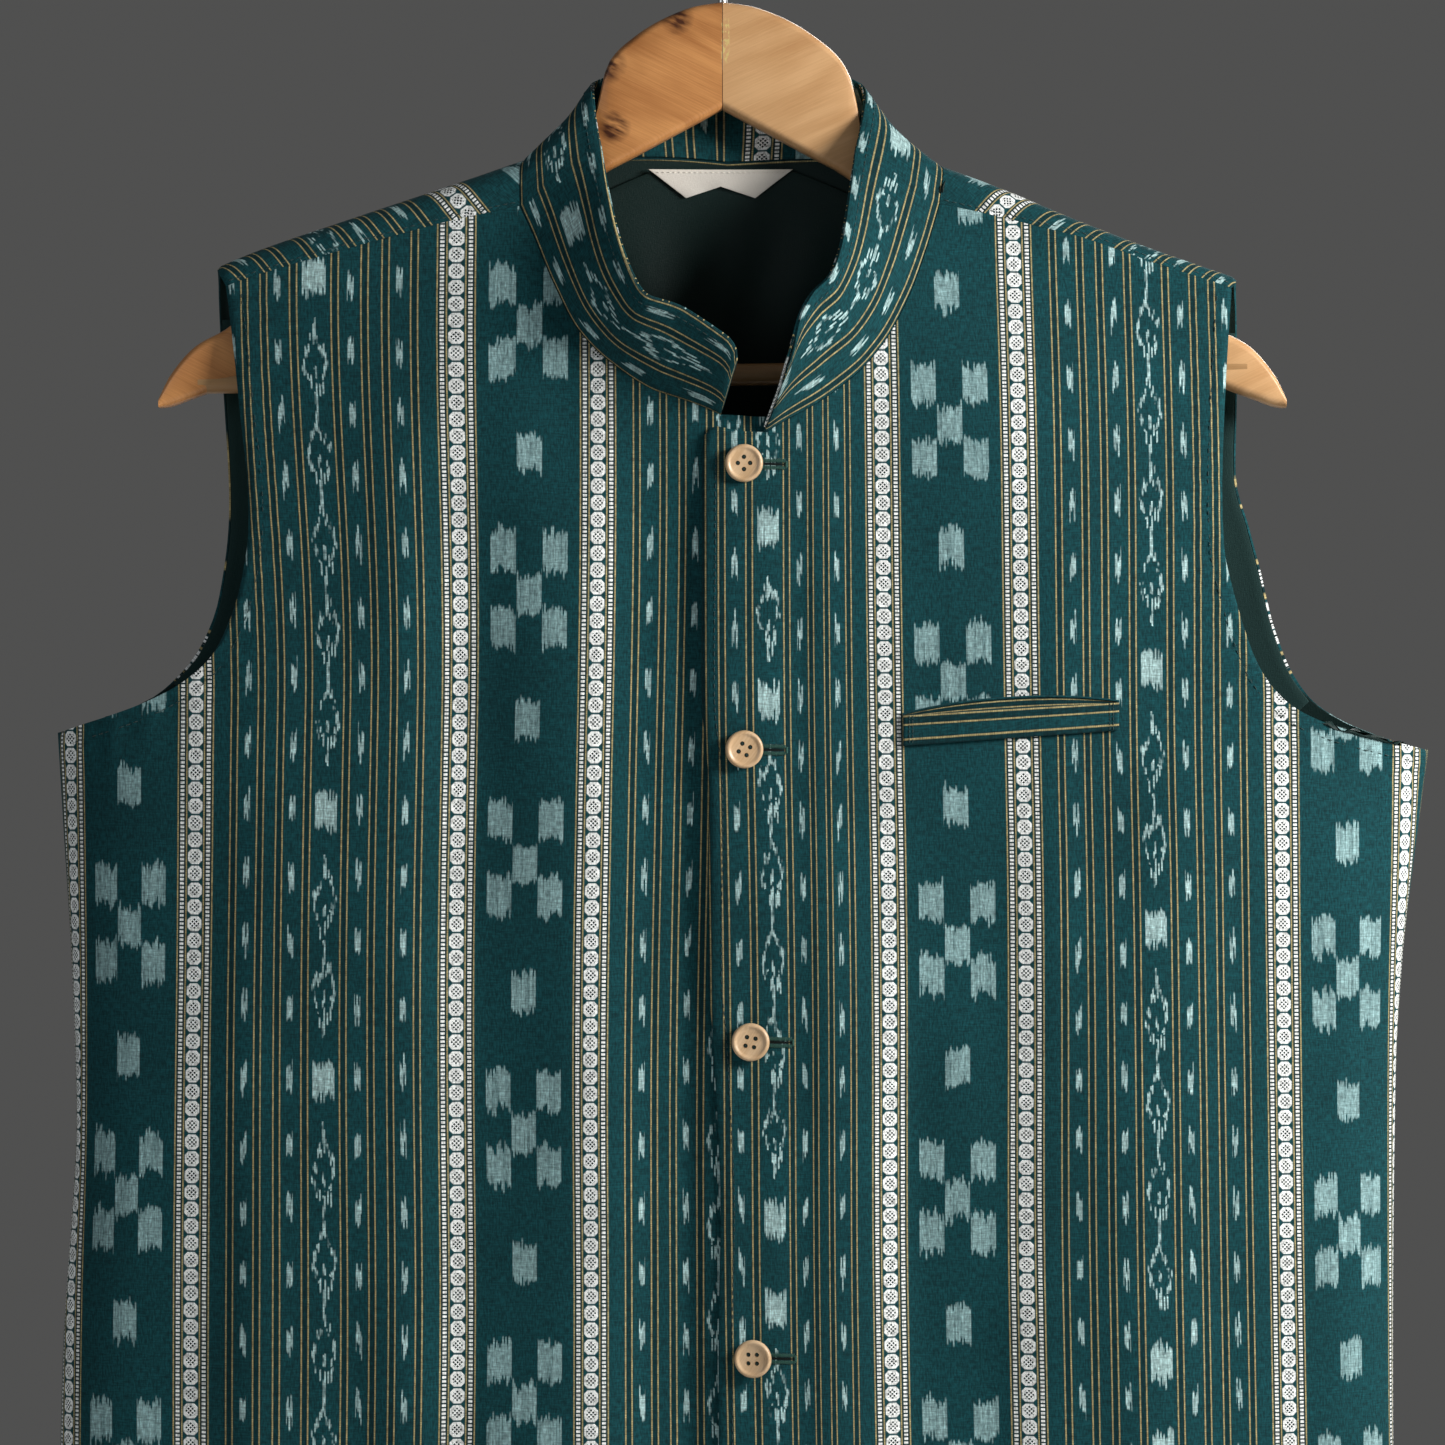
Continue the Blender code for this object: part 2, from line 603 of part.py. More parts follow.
def armhole_facing(name, armhole, side, x_sign, finish):
    """Strip that follows an armhole inside the wall, from the shoulder to the side seam."""
    depth_in = CLOTH + LAYER_GAP * 1.4

    def place(s, t, depth):
        share = 0.10 + 0.68 * s
        spot = along(armhole, share)
        ahead = along(armhole, share + 0.02)
        behind = along(armhole, share - 0.02)
        run = (ahead - behind).normalized()
        inward = Vector((run.y, -run.x)) * x_sign
        place_at = spot + inward * (0.0012 + FACING_WIDTH * t)
        return under_body(place_at.x, place_at.y, side, depth)

    return sheet_wall(name, 12, 2, place, depth_in, LINING, finish)


def build_facings(finish):
    armhole_facing("facing_front_left", LEFT_FRONT_ARMHOLE, FRONT, 1, finish)
    armhole_facing("facing_front_right", RIGHT_FRONT_ARMHOLE, FRONT, -1, finish)
    armhole_facing("facing_back_left", LEFT_BACK_ARMHOLE, BACK, 1, finish)
    armhole_facing("facing_back_right", RIGHT_BACK_ARMHOLE, BACK, -1, finish)


def neck_seam_z(x):
    """Height of the back neck seam, and of the yoke lining's top beyond it."""
    rows = [(row[0], row[1]) for row in COLLAR[LEFT_NECK_END + 2:RIGHT_NECK_END - 1]]
    limit = shoulder_z(x) - YOKE_TOP_DROP
    if abs(x) > 0.079:
        return limit
    return min(curve_value(rows, x) - 0.0045, limit)


def build_yoke_lining(finish):
    def place(s, t, depth):
        x = YOKE_HALF_WIDTH * (2 * s - 1)
        top = neck_seam_z(x)
        bottom = YOKE_BOTTOM + 0.012 * (2 * s - 1) ** 2
        return under_body(x, top + (bottom - top) * t, BACK, depth)

    return sheet_wall("lining_yoke", 22, 9, place, CLOTH + LAYER_GAP, LINING, finish)


def build_label(finish):
    """Swallow-tailed strip that hangs from the back neck seam."""
    depth_in = CLOTH + LAYER_GAP + LINING + LAYER_GAP

    def place(s, t, depth):
        centred = 2 * s - 1
        narrow = 1 - 0.52 * t
        x = LABEL_CENTRE + LABEL_HALF_WIDTH * centred * narrow
        tail = LABEL_HEIGHT - LABEL_NOTCH * (1 - abs(centred))
        return under_body(x, LABEL_TOP - tail * t, BACK, depth)

    return sheet_wall("label", 8, 1, place, depth_in, LABEL_WALL, finish)


# Welt pocket and buttons

def over_left_front(x, z, lift):
    """A point that stands this far off the left front."""
    point = under_body(x, z, FRONT, -lift)
    point.y -= left_front_lift(x)
    return point


def build_welt(finish):
    inner = Vector(WELT_TOP_INNER)
    outer = Vector(WELT_TOP_OUTER)

    def place(s, t, depth):
        top = inner.lerp(outer, s)
        height = WELT_HEIGHT_INNER + (WELT_HEIGHT_OUTER - WELT_HEIGHT_INNER) * s
        gape = WELT_GAPE * sin(pi * s) * (1 - t)
        return over_left_front(top.x, top.y - height * t, LAYER_GAP + gape + WELT_WALL - depth)

    return sheet_wall("welt", 10, 2, place, 0.0, WELT_WALL, finish)


def build_buttons(finish):
    """Turned discs with a raised rim and four holes, each lying on the left front."""
    half = BUTTON_THICKNESS / 2
    profile = [
        (0.0, -half), (BUTTON_RADIUS - 0.0012, -half), (BUTTON_RADIUS, -0.0002),
        (BUTTON_RADIUS - 0.0007, half),
        (BUTTON_RADIUS - 0.0018, half), (BUTTON_RADIUS - 0.0026, half - 0.0007), (0.0, half - 0.0007),
    ]
    for number, (x, z, turn, tilt) in enumerate(BUTTONS, start=1):
        disc = bmesh.new()
        verts = [disc.verts.new((radius, 0.0, height)) for radius, height in profile]
        line = [disc.edges.new(pair) for pair in zip(verts, verts[1:])]
        bmesh.ops.spin(disc, geom=verts + line, cent=(0, 0, 0), axis=(0, 0, 1), angle=2 * pi,
                       steps=16, use_merge=True)
        bmesh.ops.remove_doubles(disc, verts=disc.verts, dist=1e-6)
        made = finish_object("button_" + str(number), disc, finish)
        holes = bmesh.new()
        for i in range(4):
            angle = radians(turn) + i * pi / 2
            spot = Matrix.Translation((BUTTON_HOLE_RING * cos(angle), BUTTON_HOLE_RING * sin(angle), 0.0))
            bmesh.ops.create_cone(holes, cap_ends=True, segments=6, radius1=BUTTON_HOLE_RADIUS,
                                  radius2=BUTTON_HOLE_RADIUS, depth=BUTTON_THICKNESS * 3, matrix=spot)
        cutter = finish_object("cutter_holes_" + str(number), holes, finish)
        cutter.hide_render = True
        cutter.display_type = "WIRE"
        cutter.parent = made
        cut = made.modifiers.new("holes", "BOOLEAN")
        cut.operation = "DIFFERENCE"
        cut.object = cutter
        seat = over_left_front(x, z, LAYER_GAP + half + abs(sin(radians(tilt))) * BUTTON_RADIUS * 0.9)
        made.location = seat
        made.rotation_euler = (radians(90), 0.0, radians(tilt))


# Hanger

def arm_ring(x_sign, along_x):
    top = curve_value(LEFT_ARM_TOP if x_sign > 0 else RIGHT_ARM_TOP, along_x)
    if along_x > ARM_UNDER_CLOTH:
        top = min(top, shoulder_z(x_sign * along_x) - ARM_SEAT)
    bottom = curve_value(ARM_BOTTOM, along_x)
    centre_y = -ARM_END_SWEEP * (along_x / ARM_TIP) ** 2
    half = ARM_THICKNESS / 2
    bevel = min(ARM_BEVEL, (top - bottom) * 0.4)
    x = x_sign * max(along_x, SEAM_GAP / 2)
    ring = []
    for corner_z, corner_y, start in ((top, -1, 90), (bottom, -1, 180), (bottom, 1, 270), (top, 1, 0)):
        z_in = corner_z - bevel if corner_z == top else corner_z + bevel
        y_in = (half - bevel) * corner_y
        for turn in (0, 45, 90):
            angle = radians(start + turn)
            ring.append((x, centre_y + y_in + bevel * cos(angle), z_in + bevel * sin(angle)))
    return ring


def cut_away(made, name, cutter_mesh, finish):
    cutter = finish_object(name, cutter_mesh, finish)
    cutter.hide_render = True
    cutter.display_type = "WIRE"
    cut = made.modifiers.new(name, "BOOLEAN")
    cut.operation = "DIFFERENCE"
    cut.object = cutter


def bar_z(x):
    return BAR_HEIGHT + BAR_DROP * x


def rod(start, end, radius, segments):
    """A straight round rod between two points."""
    made = bmesh.new()
    reach = Vector(end) - Vector(start)
    turn = reach.to_track_quat("Z", "Y").to_matrix().to_4x4()
    middle = Matrix.Translation((Vector(start) + Vector(end)) / 2)
    bmesh.ops.create_cone(made, cap_ends=True, segments=segments, radius1=radius, radius2=radius,
                          depth=reach.length, matrix=middle @ turn)
    return made


def bar_spot(x):
    return Vector((x, BAR_Y, bar_z(x)))


def build_hanger(wood):
    stations = [0.0, 0.012, 0.024, 0.034, 0.043, 0.049, 0.052, 0.058, 0.068, 0.080, 0.095,
                0.113, 0.132, 0.152, 0.170, 0.185, 0.198, 0.209, 0.218, 0.225, ARM_TIP]
    for name, x_sign in (("hanger_arm_left", 1), ("hanger_arm_right", -1)):
        arm = finish_object(name, loft([arm_ring(x_sign, spot) for spot in stations]), wood)
        hook_bore = rod((0, 0, HOOK_FOOT - BORE_CLEARANCE), (0, 0, -0.060),
                        WIRE_RADIUS + BORE_CLEARANCE, 16)
        cut_away(arm, "cutter_hook_" + name, hook_bore, wood)
        bore_end = bar_spot(x_sign * (BAR_END + BORE_CLEARANCE))
        bar_bore = rod(bar_spot(0.0), bore_end, BAR_RADIUS + BORE_CLEARANCE, 16)
        cut_away(arm, "cutter_bar_" + name, bar_bore, wood)
    finish_object("trouser_bar", rod(bar_spot(-BAR_END), bar_spot(BAR_END), BAR_RADIUS, 16), wood)


def build_hook(metal):
    """A bent wire: three quarters of a ring, a turn back to the middle and a stem."""
    centre_z = -HOOK_INNER_RADIUS
    bend = HOOK_INNER_RADIUS + WIRE_RADIUS
    route = []
    for i in range(25):
        angle = radians(195 - 255 * i / 24)
        route.append((bend * cos(angle), centre_z + bend * sin(angle)))
    last_x = bend * cos(radians(-60))
    last_z = centre_z + bend * sin(radians(-60))
    turn_x = last_x + bend * 0.5
    turn_z = last_z - bend * sin(radians(60))
    for i in range(1, 7):
        angle = radians(120 + 10 * i)
        route.append((turn_x + bend * cos(angle), turn_z + bend * sin(angle)))
    route.append((0.0, -0.072))
    route.append((0.0, HOOK_FOOT))
    line = bpy.data.curves.new("hook", "CURVE")
    line.dimensions = "3D"
    line.bevel_depth = WIRE_RADIUS
    line.bevel_resolution = 2
    line.use_fill_caps = True
    spline = line.splines.new("POLY")
    spline.points.add(len(route) - 1)
    for point, (x, z) in zip(spline.points, route):
        point.co = (x, 0.0, z, 1.0)
    line.materials.append(metal)
    hook = bpy.data.objects.new("hook", line)
    bpy.context.collection.objects.link(hook)


def main():
    for old in list(bpy.data.objects):
        bpy.data.objects.remove(old)
    cloth = material("ikat_cloth", (0.010, 0.060, 0.068), 0.85)
    lining = material("lining", (0.006, 0.016, 0.016), 0.60)
    white = material("label", (0.580, 0.550, 0.480), 0.70)
    wood = material("hanger_wood", (0.630, 0.370, 0.170), 0.40)
    button_wood = material("button_wood", (0.720, 0.480, 0.290), 0.55)
    metal = material("hook_wire", (0.700, 0.700, 0.700), 0.25, 1.0)
    build_fronts(cloth)
    build_back(cloth)
    build_collar(cloth)
    build_facings(lining)
    build_yoke_lining(lining)
    build_label(white)
    build_welt(cloth)
    build_buttons(button_wood)
    build_hanger(wood)
    build_hook(metal)


main()
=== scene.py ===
# A sleeveless striped jacket on a wooden hanger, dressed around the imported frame.
# Metres. The fronts face -Y and the wearer's left is at +X, so the right front is at -X.

from bisect import bisect_right
from math import acos, cos, exp, pi, radians, sin, sqrt

import bmesh
import bpy
import numpy
from mathutils import Matrix, Vector, noise


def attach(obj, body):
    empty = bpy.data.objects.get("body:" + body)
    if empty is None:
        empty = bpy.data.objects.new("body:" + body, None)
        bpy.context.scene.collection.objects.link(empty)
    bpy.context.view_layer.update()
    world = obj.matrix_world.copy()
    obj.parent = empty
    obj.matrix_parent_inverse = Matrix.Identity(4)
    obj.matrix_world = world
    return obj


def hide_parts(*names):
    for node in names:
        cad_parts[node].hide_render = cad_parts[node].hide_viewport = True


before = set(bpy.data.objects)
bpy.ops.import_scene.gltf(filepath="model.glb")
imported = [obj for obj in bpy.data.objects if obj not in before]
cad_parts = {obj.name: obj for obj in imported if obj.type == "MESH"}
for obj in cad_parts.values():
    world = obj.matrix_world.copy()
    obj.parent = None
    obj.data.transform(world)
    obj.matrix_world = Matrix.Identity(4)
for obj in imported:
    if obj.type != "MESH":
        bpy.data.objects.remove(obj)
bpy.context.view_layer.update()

front = -1      # sides of the body, as the sign of y
back = 1


# Small tools

# Function of the first column that runs smoothly through the rows
def smoothCurve(rows):
    rows = sorted(rows)
    starts = [row[0] for row in rows]
    slopes = []
    for i in range(len(rows)):
        low = rows[max(i - 1, 0)]
        high = rows[min(i + 1, len(rows) - 1)]
        slopes.append((high[1] - low[1]) / (high[0] - low[0]))

    def at(x):
        if x <= starts[0]:
            return rows[0][1]
        if x >= starts[-1]:
            return rows[-1][1]
        i = bisect_right(starts, x) - 1
        width = starts[i + 1] - starts[i]
        t = (x - starts[i]) / width
        ease = t * t * (3 - 2 * t)
        bend = width * (t * (1 - t) ** 2 * slopes[i] - t * t * (1 - t) * slopes[i + 1])
        return rows[i][1] * (1 - ease) + rows[i + 1][1] * ease + bend
    return at


# Function of a share of the length that runs smoothly through the points
def pathThrough(points):
    points = [Vector(p) for p in points]
    lengths = [0.0]
    for a, b in zip(points, points[1:]):
        lengths.append(lengths[-1] + (b - a).length)

    def at(share):
        reach = min(max(share, 0.0), 1.0) * lengths[-1]
        i = min(max(bisect_right(lengths, reach) - 1, 0), len(points) - 2)
        t = (reach - lengths[i]) / (lengths[i + 1] - lengths[i])
        a = points[i]
        b = points[i + 1]
        bendA = (b - points[max(i - 1, 0)]) * 0.5
        bendB = (points[min(i + 2, len(points) - 1)] - a) * 0.5
        curved = (a * (2 * t ** 3 - 3 * t ** 2 + 1) + bendA * (t ** 3 - 2 * t ** 2 + t)
                  + b * (3 * t ** 2 - 2 * t ** 3) + bendB * (t ** 3 - t ** 2))
        return a.lerp(b, t).lerp(curved, 0.8)
    return at


# One edge made of several paths, which meet at shares of the way
def joined(paths, splits):
    stops = [0.0] + splits + [1.0]

    def at(share):
        for i in range(len(paths)):
            if share <= stops[i + 1] + 1e-9:
                return paths[i]((share - stops[i]) / (stops[i + 1] - stops[i]))
        return paths[-1](1.0)
    return at


def smoothStep(low, high, value):
    t = min(max((value - low) / (high - low), 0.0), 1.0)
    return t * t * (3 - 2 * t)


def bump(value, centre, width):
    return exp(-((value - centre) / width) ** 2)


# Form of the hanging body, the same as the solids have

body = {
    "frontDepth": 0.034,
    "backDepth": 0.028,
    "shoulderRadius": 0.01,
    "depthReach": 0.08,
    "sidePower": 5.0,
    "hemCentre": -0.862,
    "hemSide": -0.857,
    "foldFade": 0.06,
    "unevenness": [(12, 4.0, 4, 0.0036), (34, 9.0, 11, 0.0011)],    # rates across and down, and depth
    "lapLift": 0.0023,      # how far the left front stands off the right one
    "lapEnds": (0.03, 0.062),
    "flankDepth": 0.12,
    "slackFrom": (0.02, 0.12),      # distances under the shoulder between which the unevenness sets in
    "feeler": 0.0008,       # step at which the surface's slope is taken
}
shoulderZ = smoothCurve([
    (-0.3, -0.22), (-0.2103, -0.1827), (-0.1896, -0.174), (-0.1547, -0.162), (-0.1158, -0.149),
    (-0.0821, -0.1374), (0.0, -0.1084), (0.0909, -0.1401), (0.1166, -0.1498), (0.1414, -0.1602),
    (0.1738, -0.1727), (0.2103, -0.1855), (0.3, -0.22)])
rightSide = smoothCurve([
    (-0.37, 0.2706), (-0.4177, 0.2677), (-0.4715, 0.2645), (-0.5387, 0.2631), (-0.601, 0.2675),
    (-0.66, 0.2694), (-0.87, 0.272)])
leftSide = smoothCurve([
    (-0.377, 0.2873), (-0.4141, 0.2824), (-0.4662, 0.2763), (-0.5195, 0.2738), (-0.66, 0.273),
    (-0.87, 0.276)])
neckRows = [
    (0.0174, -0.2497, front, 0.029, -0.2165, -0.02), (0.0386, -0.2376, front, 0.0318, -0.204, -0.02),
    (0.0551, -0.2247, front, 0.0368, -0.1945, -0.019), (0.0668, -0.2103, front, 0.044, -0.187, -0.02),
    (0.0762, -0.1918, front, 0.0485, -0.1735, -0.018), (0.0829, -0.1731, front, 0.0512, -0.156, -0.013),
    (0.088, -0.1557, front, 0.054, -0.1345, -0.007), (0.0893, -0.14, front, 0.0588, -0.112, 0.0),
    (0.08, -0.1378, back, 0.057, -0.1045, 0.004), (0.0608, -0.1372, back, 0.045, -0.101, 0.003),
    (0.002, -0.1376, back, 0.001, -0.0985, 0.002), (-0.0546, -0.1368, back, -0.04, -0.101, 0.003),
    (-0.074, -0.1372, back, -0.0528, -0.1035, 0.004), (-0.0818, -0.1382, front, -0.0538, -0.1095, 0.0),
    (-0.0822, -0.1567, front, -0.0495, -0.133, -0.007), (-0.0765, -0.169, front, -0.047, -0.15, -0.013),
    (-0.0686, -0.1878, front, -0.043, -0.169, -0.018), (-0.0592, -0.2063, front, -0.0372, -0.1865, -0.022),
    (-0.047, -0.2195, front, -0.031, -0.1965, -0.024), (-0.0278, -0.2324, front, -0.0155, -0.202, -0.022),
    (-0.001, -0.2425, front, 0.0068, -0.2175, -0.022)]
neckEnds = (6, 14)      # rows at which the shoulder seams meet the neck
leftShoulderSeam = [
    (0.088, -0.1557), (0.1212, -0.1632), (0.147, -0.1696), (0.1764, -0.1799), (0.2066, -0.1896)]
rightShoulderSeam = [
    (-0.0822, -0.1567), (-0.1127, -0.1632), (-0.1486, -0.1729), (-0.172, -0.1795), (-0.2014, -0.189)]
leftFrontArmhole = [
    (0.2066, -0.1896), (0.203, -0.2363), (0.2012, -0.2685), (0.2018, -0.2971), (0.2068, -0.3188),
    (0.2135, -0.339), (0.2204, -0.3508), (0.2288, -0.359), (0.2404, -0.3652), (0.26, -0.371),
    (0.2873, -0.377)]
rightFrontArmhole = [
    (-0.2014, -0.189), (-0.1978, -0.2162), (-0.1944, -0.2444), (-0.1912, -0.2687), (-0.1908, -0.2927),
    (-0.1952, -0.3168), (-0.204, -0.3372), (-0.217, -0.3495), (-0.2332, -0.358), (-0.2502, -0.364),
    (-0.2706, -0.37)]
leftBackArmhole = [
    (0.2103, -0.1855), (0.2108, -0.23), (0.2112, -0.2659), (0.2165, -0.2844), (0.2215, -0.3026),
    (0.2268, -0.325), (0.2342, -0.3446), (0.2445, -0.3586), (0.262, -0.369), (0.2873, -0.377)]
rightBackArmhole = [
    (-0.206, -0.181), (-0.205, -0.22), (-0.203, -0.2687), (-0.204, -0.2927), (-0.2085, -0.319),
    (-0.2157, -0.3359), (-0.2239, -0.3465), (-0.236, -0.357), (-0.253, -0.365), (-0.2706, -0.37)]
leftFrontEdge = [
    (-0.0025, -0.2472), (-0.0078, -0.253), (-0.0084, -0.2953), (-0.0087, -0.3568), (-0.0055, -0.3935),
    (-0.0059, -0.4666), (-0.0038, -0.4941), (-0.0008, -0.5564), (-0.0016, -0.6215), (-0.001, -0.862)]

# Soft folds: x and z at the top, x and z at the bottom, half width, depth
frontFolds = [
    (-0.03, -0.245, -0.022, -0.88, 0.016, -0.003), (-0.07, -0.25, -0.06, -0.88, 0.03, 0.0022),
    (-0.165, -0.33, -0.15, -0.88, 0.04, 0.0026), (-0.225, -0.42, -0.215, -0.88, 0.026, -0.0022),
    (0.05, -0.44, 0.058, -0.88, 0.022, 0.003), (0.1, -0.39, 0.095, -0.88, 0.028, -0.002),
    (0.168, -0.4, 0.16, -0.88, 0.034, 0.003), (0.232, -0.4, 0.222, -0.88, 0.024, -0.0022)]
backFolds = [
    (-0.06, -0.43, -0.085, -0.88, 0.034, 0.004), (0.01, -0.44, 0.0, -0.88, 0.03, -0.003),
    (0.08, -0.43, 0.1, -0.88, 0.036, 0.0036), (-0.175, -0.47, -0.17, -0.88, 0.032, -0.0026),
    (0.185, -0.46, 0.18, -0.88, 0.032, -0.0026)]

# Finer creases that only the dressed cloth has, in the same columns
frontCreases = [
    (0.03, -0.262, 0.034, -0.88, 0.007, -0.0016), (-0.0145, -0.262, -0.0125, -0.88, 0.0055, -0.0026),
    (-0.1, -0.3, -0.108, -0.7, 0.013, -0.0017), (-0.128, -0.26, -0.122, -0.6, 0.012, 0.0016),
    (0.135, -0.3, 0.128, -0.62, 0.012, 0.0016), (0.205, -0.42, 0.196, -0.8, 0.011, -0.0017),
    (-0.192, -0.43, -0.186, -0.82, 0.011, 0.0016), (0.075, -0.47, 0.078, -0.88, 0.01, -0.0017),
    (-0.045, -0.48, -0.04, -0.88, 0.01, 0.0015), (0.252, -0.42, 0.248, -0.8, 0.009, 0.0013),
    (-0.15, -0.56, -0.14, -0.88, 0.01, -0.0014), (0.152, -0.64, 0.148, -0.88, 0.01, -0.0014),
    (-0.053, -0.27, -0.05, -0.88, 0.02, 0.0024), (-0.1, -0.25, -0.098, -0.88, 0.024, -0.0026),
    (0.072, -0.38, 0.074, -0.88, 0.02, -0.0018)]
backCreases = [
    (-0.11, -0.25, -0.12, -0.7, 0.014, 0.0012), (0.12, -0.26, 0.13, -0.72, 0.014, 0.0012),
    (0.045, -0.3, 0.04, -0.88, 0.012, 0.0009), (-0.03, -0.35, -0.036, -0.88, 0.012, -0.0009),
    (-0.22, -0.43, -0.21, -0.86, 0.012, 0.0012), (0.23, -0.43, 0.222, -0.86, 0.012, 0.0012)]
folds = {front: frontFolds + frontCreases, back: backFolds + backCreases}


def halfWidth(x, z):
    return leftSide(z) if x > 0 else rightSide(z)


def foldHeight(rows, x, z):
    total = 0.0
    for topX, topZ, bottomX, bottomZ, width, depth in rows:
        if z > topZ + body["foldFade"] * 0.5:
            continue
        centre = topX + (bottomX - topX) * (topZ - z) / (topZ - bottomZ)
        fade = smoothStep(topZ + body["foldFade"] * 0.5, topZ - body["foldFade"], z)
        total += depth * fade * exp(-((x - centre) / width) ** 2)
    return total


# Slow and fine unevenness of hanging cloth
def slackness(x, z, side):
    return sum(noise.noise(Vector((x * across, side * seed, z * down))) * depth
               for across, seed, down, depth in body["unevenness"])


def bodyPoint(x, z, side):
    drop = max(shoulderZ(x) - z, 0.0)
    depth = body["frontDepth"] if side == front else body["backDepth"]
    radius = body["shoulderRadius"]
    turn = min(drop / radius, 1.0)
    rounded = radius * sqrt(max(1 - (1 - turn) ** 2, 0.0))
    y = rounded + (depth - radius) * (1 - exp(-(drop / body["depthReach"]) ** 2))
    toSide = sqrt(1 - min(abs(x) / halfWidth(x, z), 1.0) ** body["sidePower"])
    y += foldHeight(folds[side], x, z) + slackness(x, z, side) * smoothStep(*body["slackFrom"], drop)
    return Vector((x, side * y * toSide if toSide > 0 else 0.0, z))


# Wrapped height: zero on the shoulder line, negative down the back, positive down the front
def wrappedFrom(x, z, side):
    drop = max(shoulderZ(x) - z, 0.0)
    radius = body["shoulderRadius"]
    if drop < radius:
        return -side * radius * acos(1 - drop / radius)
    return -side * (radius * pi / 2 + drop - radius)


def wrappedZ(x, height):
    length = abs(height)
    radius = body["shoulderRadius"]
    if length < radius * pi / 2:
        return shoulderZ(x) - radius * (1 - cos(length / radius))
    return shoulderZ(x) - length + radius * pi / 2 - radius


def wrappedPoint(x, height):
    return bodyPoint(x, wrappedZ(x, height), front if height > 0 else back)


# A point this far inside the body's outer surface
def wallPoint(x, height, depth):
    point = wrappedPoint(x, height)
    if depth == 0:
        return point
    step = body["feeler"]
    across = wrappedPoint(x + step, height) - wrappedPoint(x - step, height)
    upward = wrappedPoint(x, height + step) - wrappedPoint(x, height - step)
    return point + across.cross(upward).normalized() * depth


def onBody(x, z, side, depth):
    return wallPoint(x, wrappedFrom(x, z, side), depth)


# The left front stands off the right one where it laps over it
def leftLift(x):
    return body["lapLift"] * (1 - smoothStep(*body["lapEnds"], x))


# Places on the woven cloth, in metres across and along its stripes

aroundTable = []        # extra length of cloth round the body's flank, by share of its half width
travelled = 0.0
for i in range(401):
    ratio = i / 400
    depthShare = sqrt(1 - ratio ** body["sidePower"]) * body["flankDepth"]
    if i:
        travelled += sqrt((1 / 400) ** 2 + (depthShare - lastDepth) ** 2) - 1 / 400
    lastDepth = depthShare
    aroundTable.append((ratio, travelled))
aroundExtra = smoothCurve(aroundTable)

grain = {
    "rightFrontShift": 0.159,   # the figured stripe's middle on the right front is at -x of this
    "leftFrontShift": -0.173,
    "rightSlant": -0.004,       # how far the stripes lean, for each metre of height
    "leftSlant": 0.012,
    "slantFrom": -0.4,
    "rightStart": 0.0416,       # where the cloth along the stripes starts
    "leftStart": 0.4173,
    "backShift": -0.004,
    "wave": 0.0027,             # how far the stripes wander from straight
    "shoulderLean": 0.0075,     # and how far the right front's lean out towards the shoulder
    "leanStart": 0.08,          # distance from the middle at which that lean starts
    "leanHeights": (-0.36, -0.18),
    "shoulderSpread": 0.011,    # how much further out the back's stripes lie at the shoulders
    "lapSqueeze": 0.006,        # width of cloth lost in the fold beside the front edge
    "squeezeEnds": (0.022, 0.062),
    "leftDraw": 0.962,          # how far the left front is drawn up along its stripes
}


def aroundBody(x, z):
    half = halfWidth(x, z)
    extra = aroundExtra(min(abs(x) / half, 1.0)) * half
    return x + extra if x > 0 else x - extra


def wander(x, z, seed):
    return noise.noise(Vector((x * 7, seed, z * 5))) * grain["wave"]


def rightFrontGrain(x, z):
    across = aroundBody(x, z) + grain["rightFrontShift"] + grain["rightSlant"] * (z - grain["slantFrom"])
    outward = min(max((-x - grain["leanStart"]) / grain["leanStart"], 0.0), 1.3)
    across += grain["shoulderLean"] * smoothStep(*grain["leanHeights"], z) * outward
    return across + wander(x, z, 1.5), -z - grain["rightStart"]


def leftFrontGrain(x, z):
    across = aroundBody(x, z) + grain["leftFrontShift"] + grain["leftSlant"] * (z - grain["slantFrom"])
    across -= grain["lapSqueeze"] * (1 - smoothStep(*grain["squeezeEnds"], x))
    along = grain["leftStart"] - (z - grain["slantFrom"]) / grain["leftDraw"]
    return across + wander(x, z, 4.5), along


# Straight down the back; over the shoulder the cloth folds forward about the sloping line
def backGrain(x, height):
    line = shoulderZ(x)
    further = grain["shoulderSpread"] * smoothStep(0.0, 0.09, abs(x))
    spread = grain["backShift"] - further * (1 if x > 0 else -1)
    if height <= 0:
        z = wrappedZ(x, height)
        return aroundBody(x, z) + spread + wander(x, z, 7.5), -z
    slope = (shoulderZ(x + 0.01) - shoulderZ(x - 0.01)) / 0.02
    reach = 2 * height / (1 + slope * slope)
    return x - slope * reach + spread + wander(x, line, 7.5), -(line - height + reach)


# Nodes

# A node's output; arithmetic on it adds the nodes that work it out
class Value:

    def __init__(self, draw, socket):
        self.draw = draw
        self.socket = socket

    def __add__(self, other):
        return self.draw.calc("ADD", self, other)

    def __sub__(self, other):
        return self.draw.calc("SUBTRACT", self, other)

    def __rsub__(self, other):
        return self.draw.calc("SUBTRACT", other, self)

    def __mul__(self, other):
        return self.draw.calc("MULTIPLY", self, other)

    def __truediv__(self, other):
        return self.draw.calc("DIVIDE", self, other)

    def __gt__(self, other):
        return self.draw.calc("GREATER_THAN", self, other)

    def __abs__(self):
        return self.draw.calc("ABSOLUTE", self)


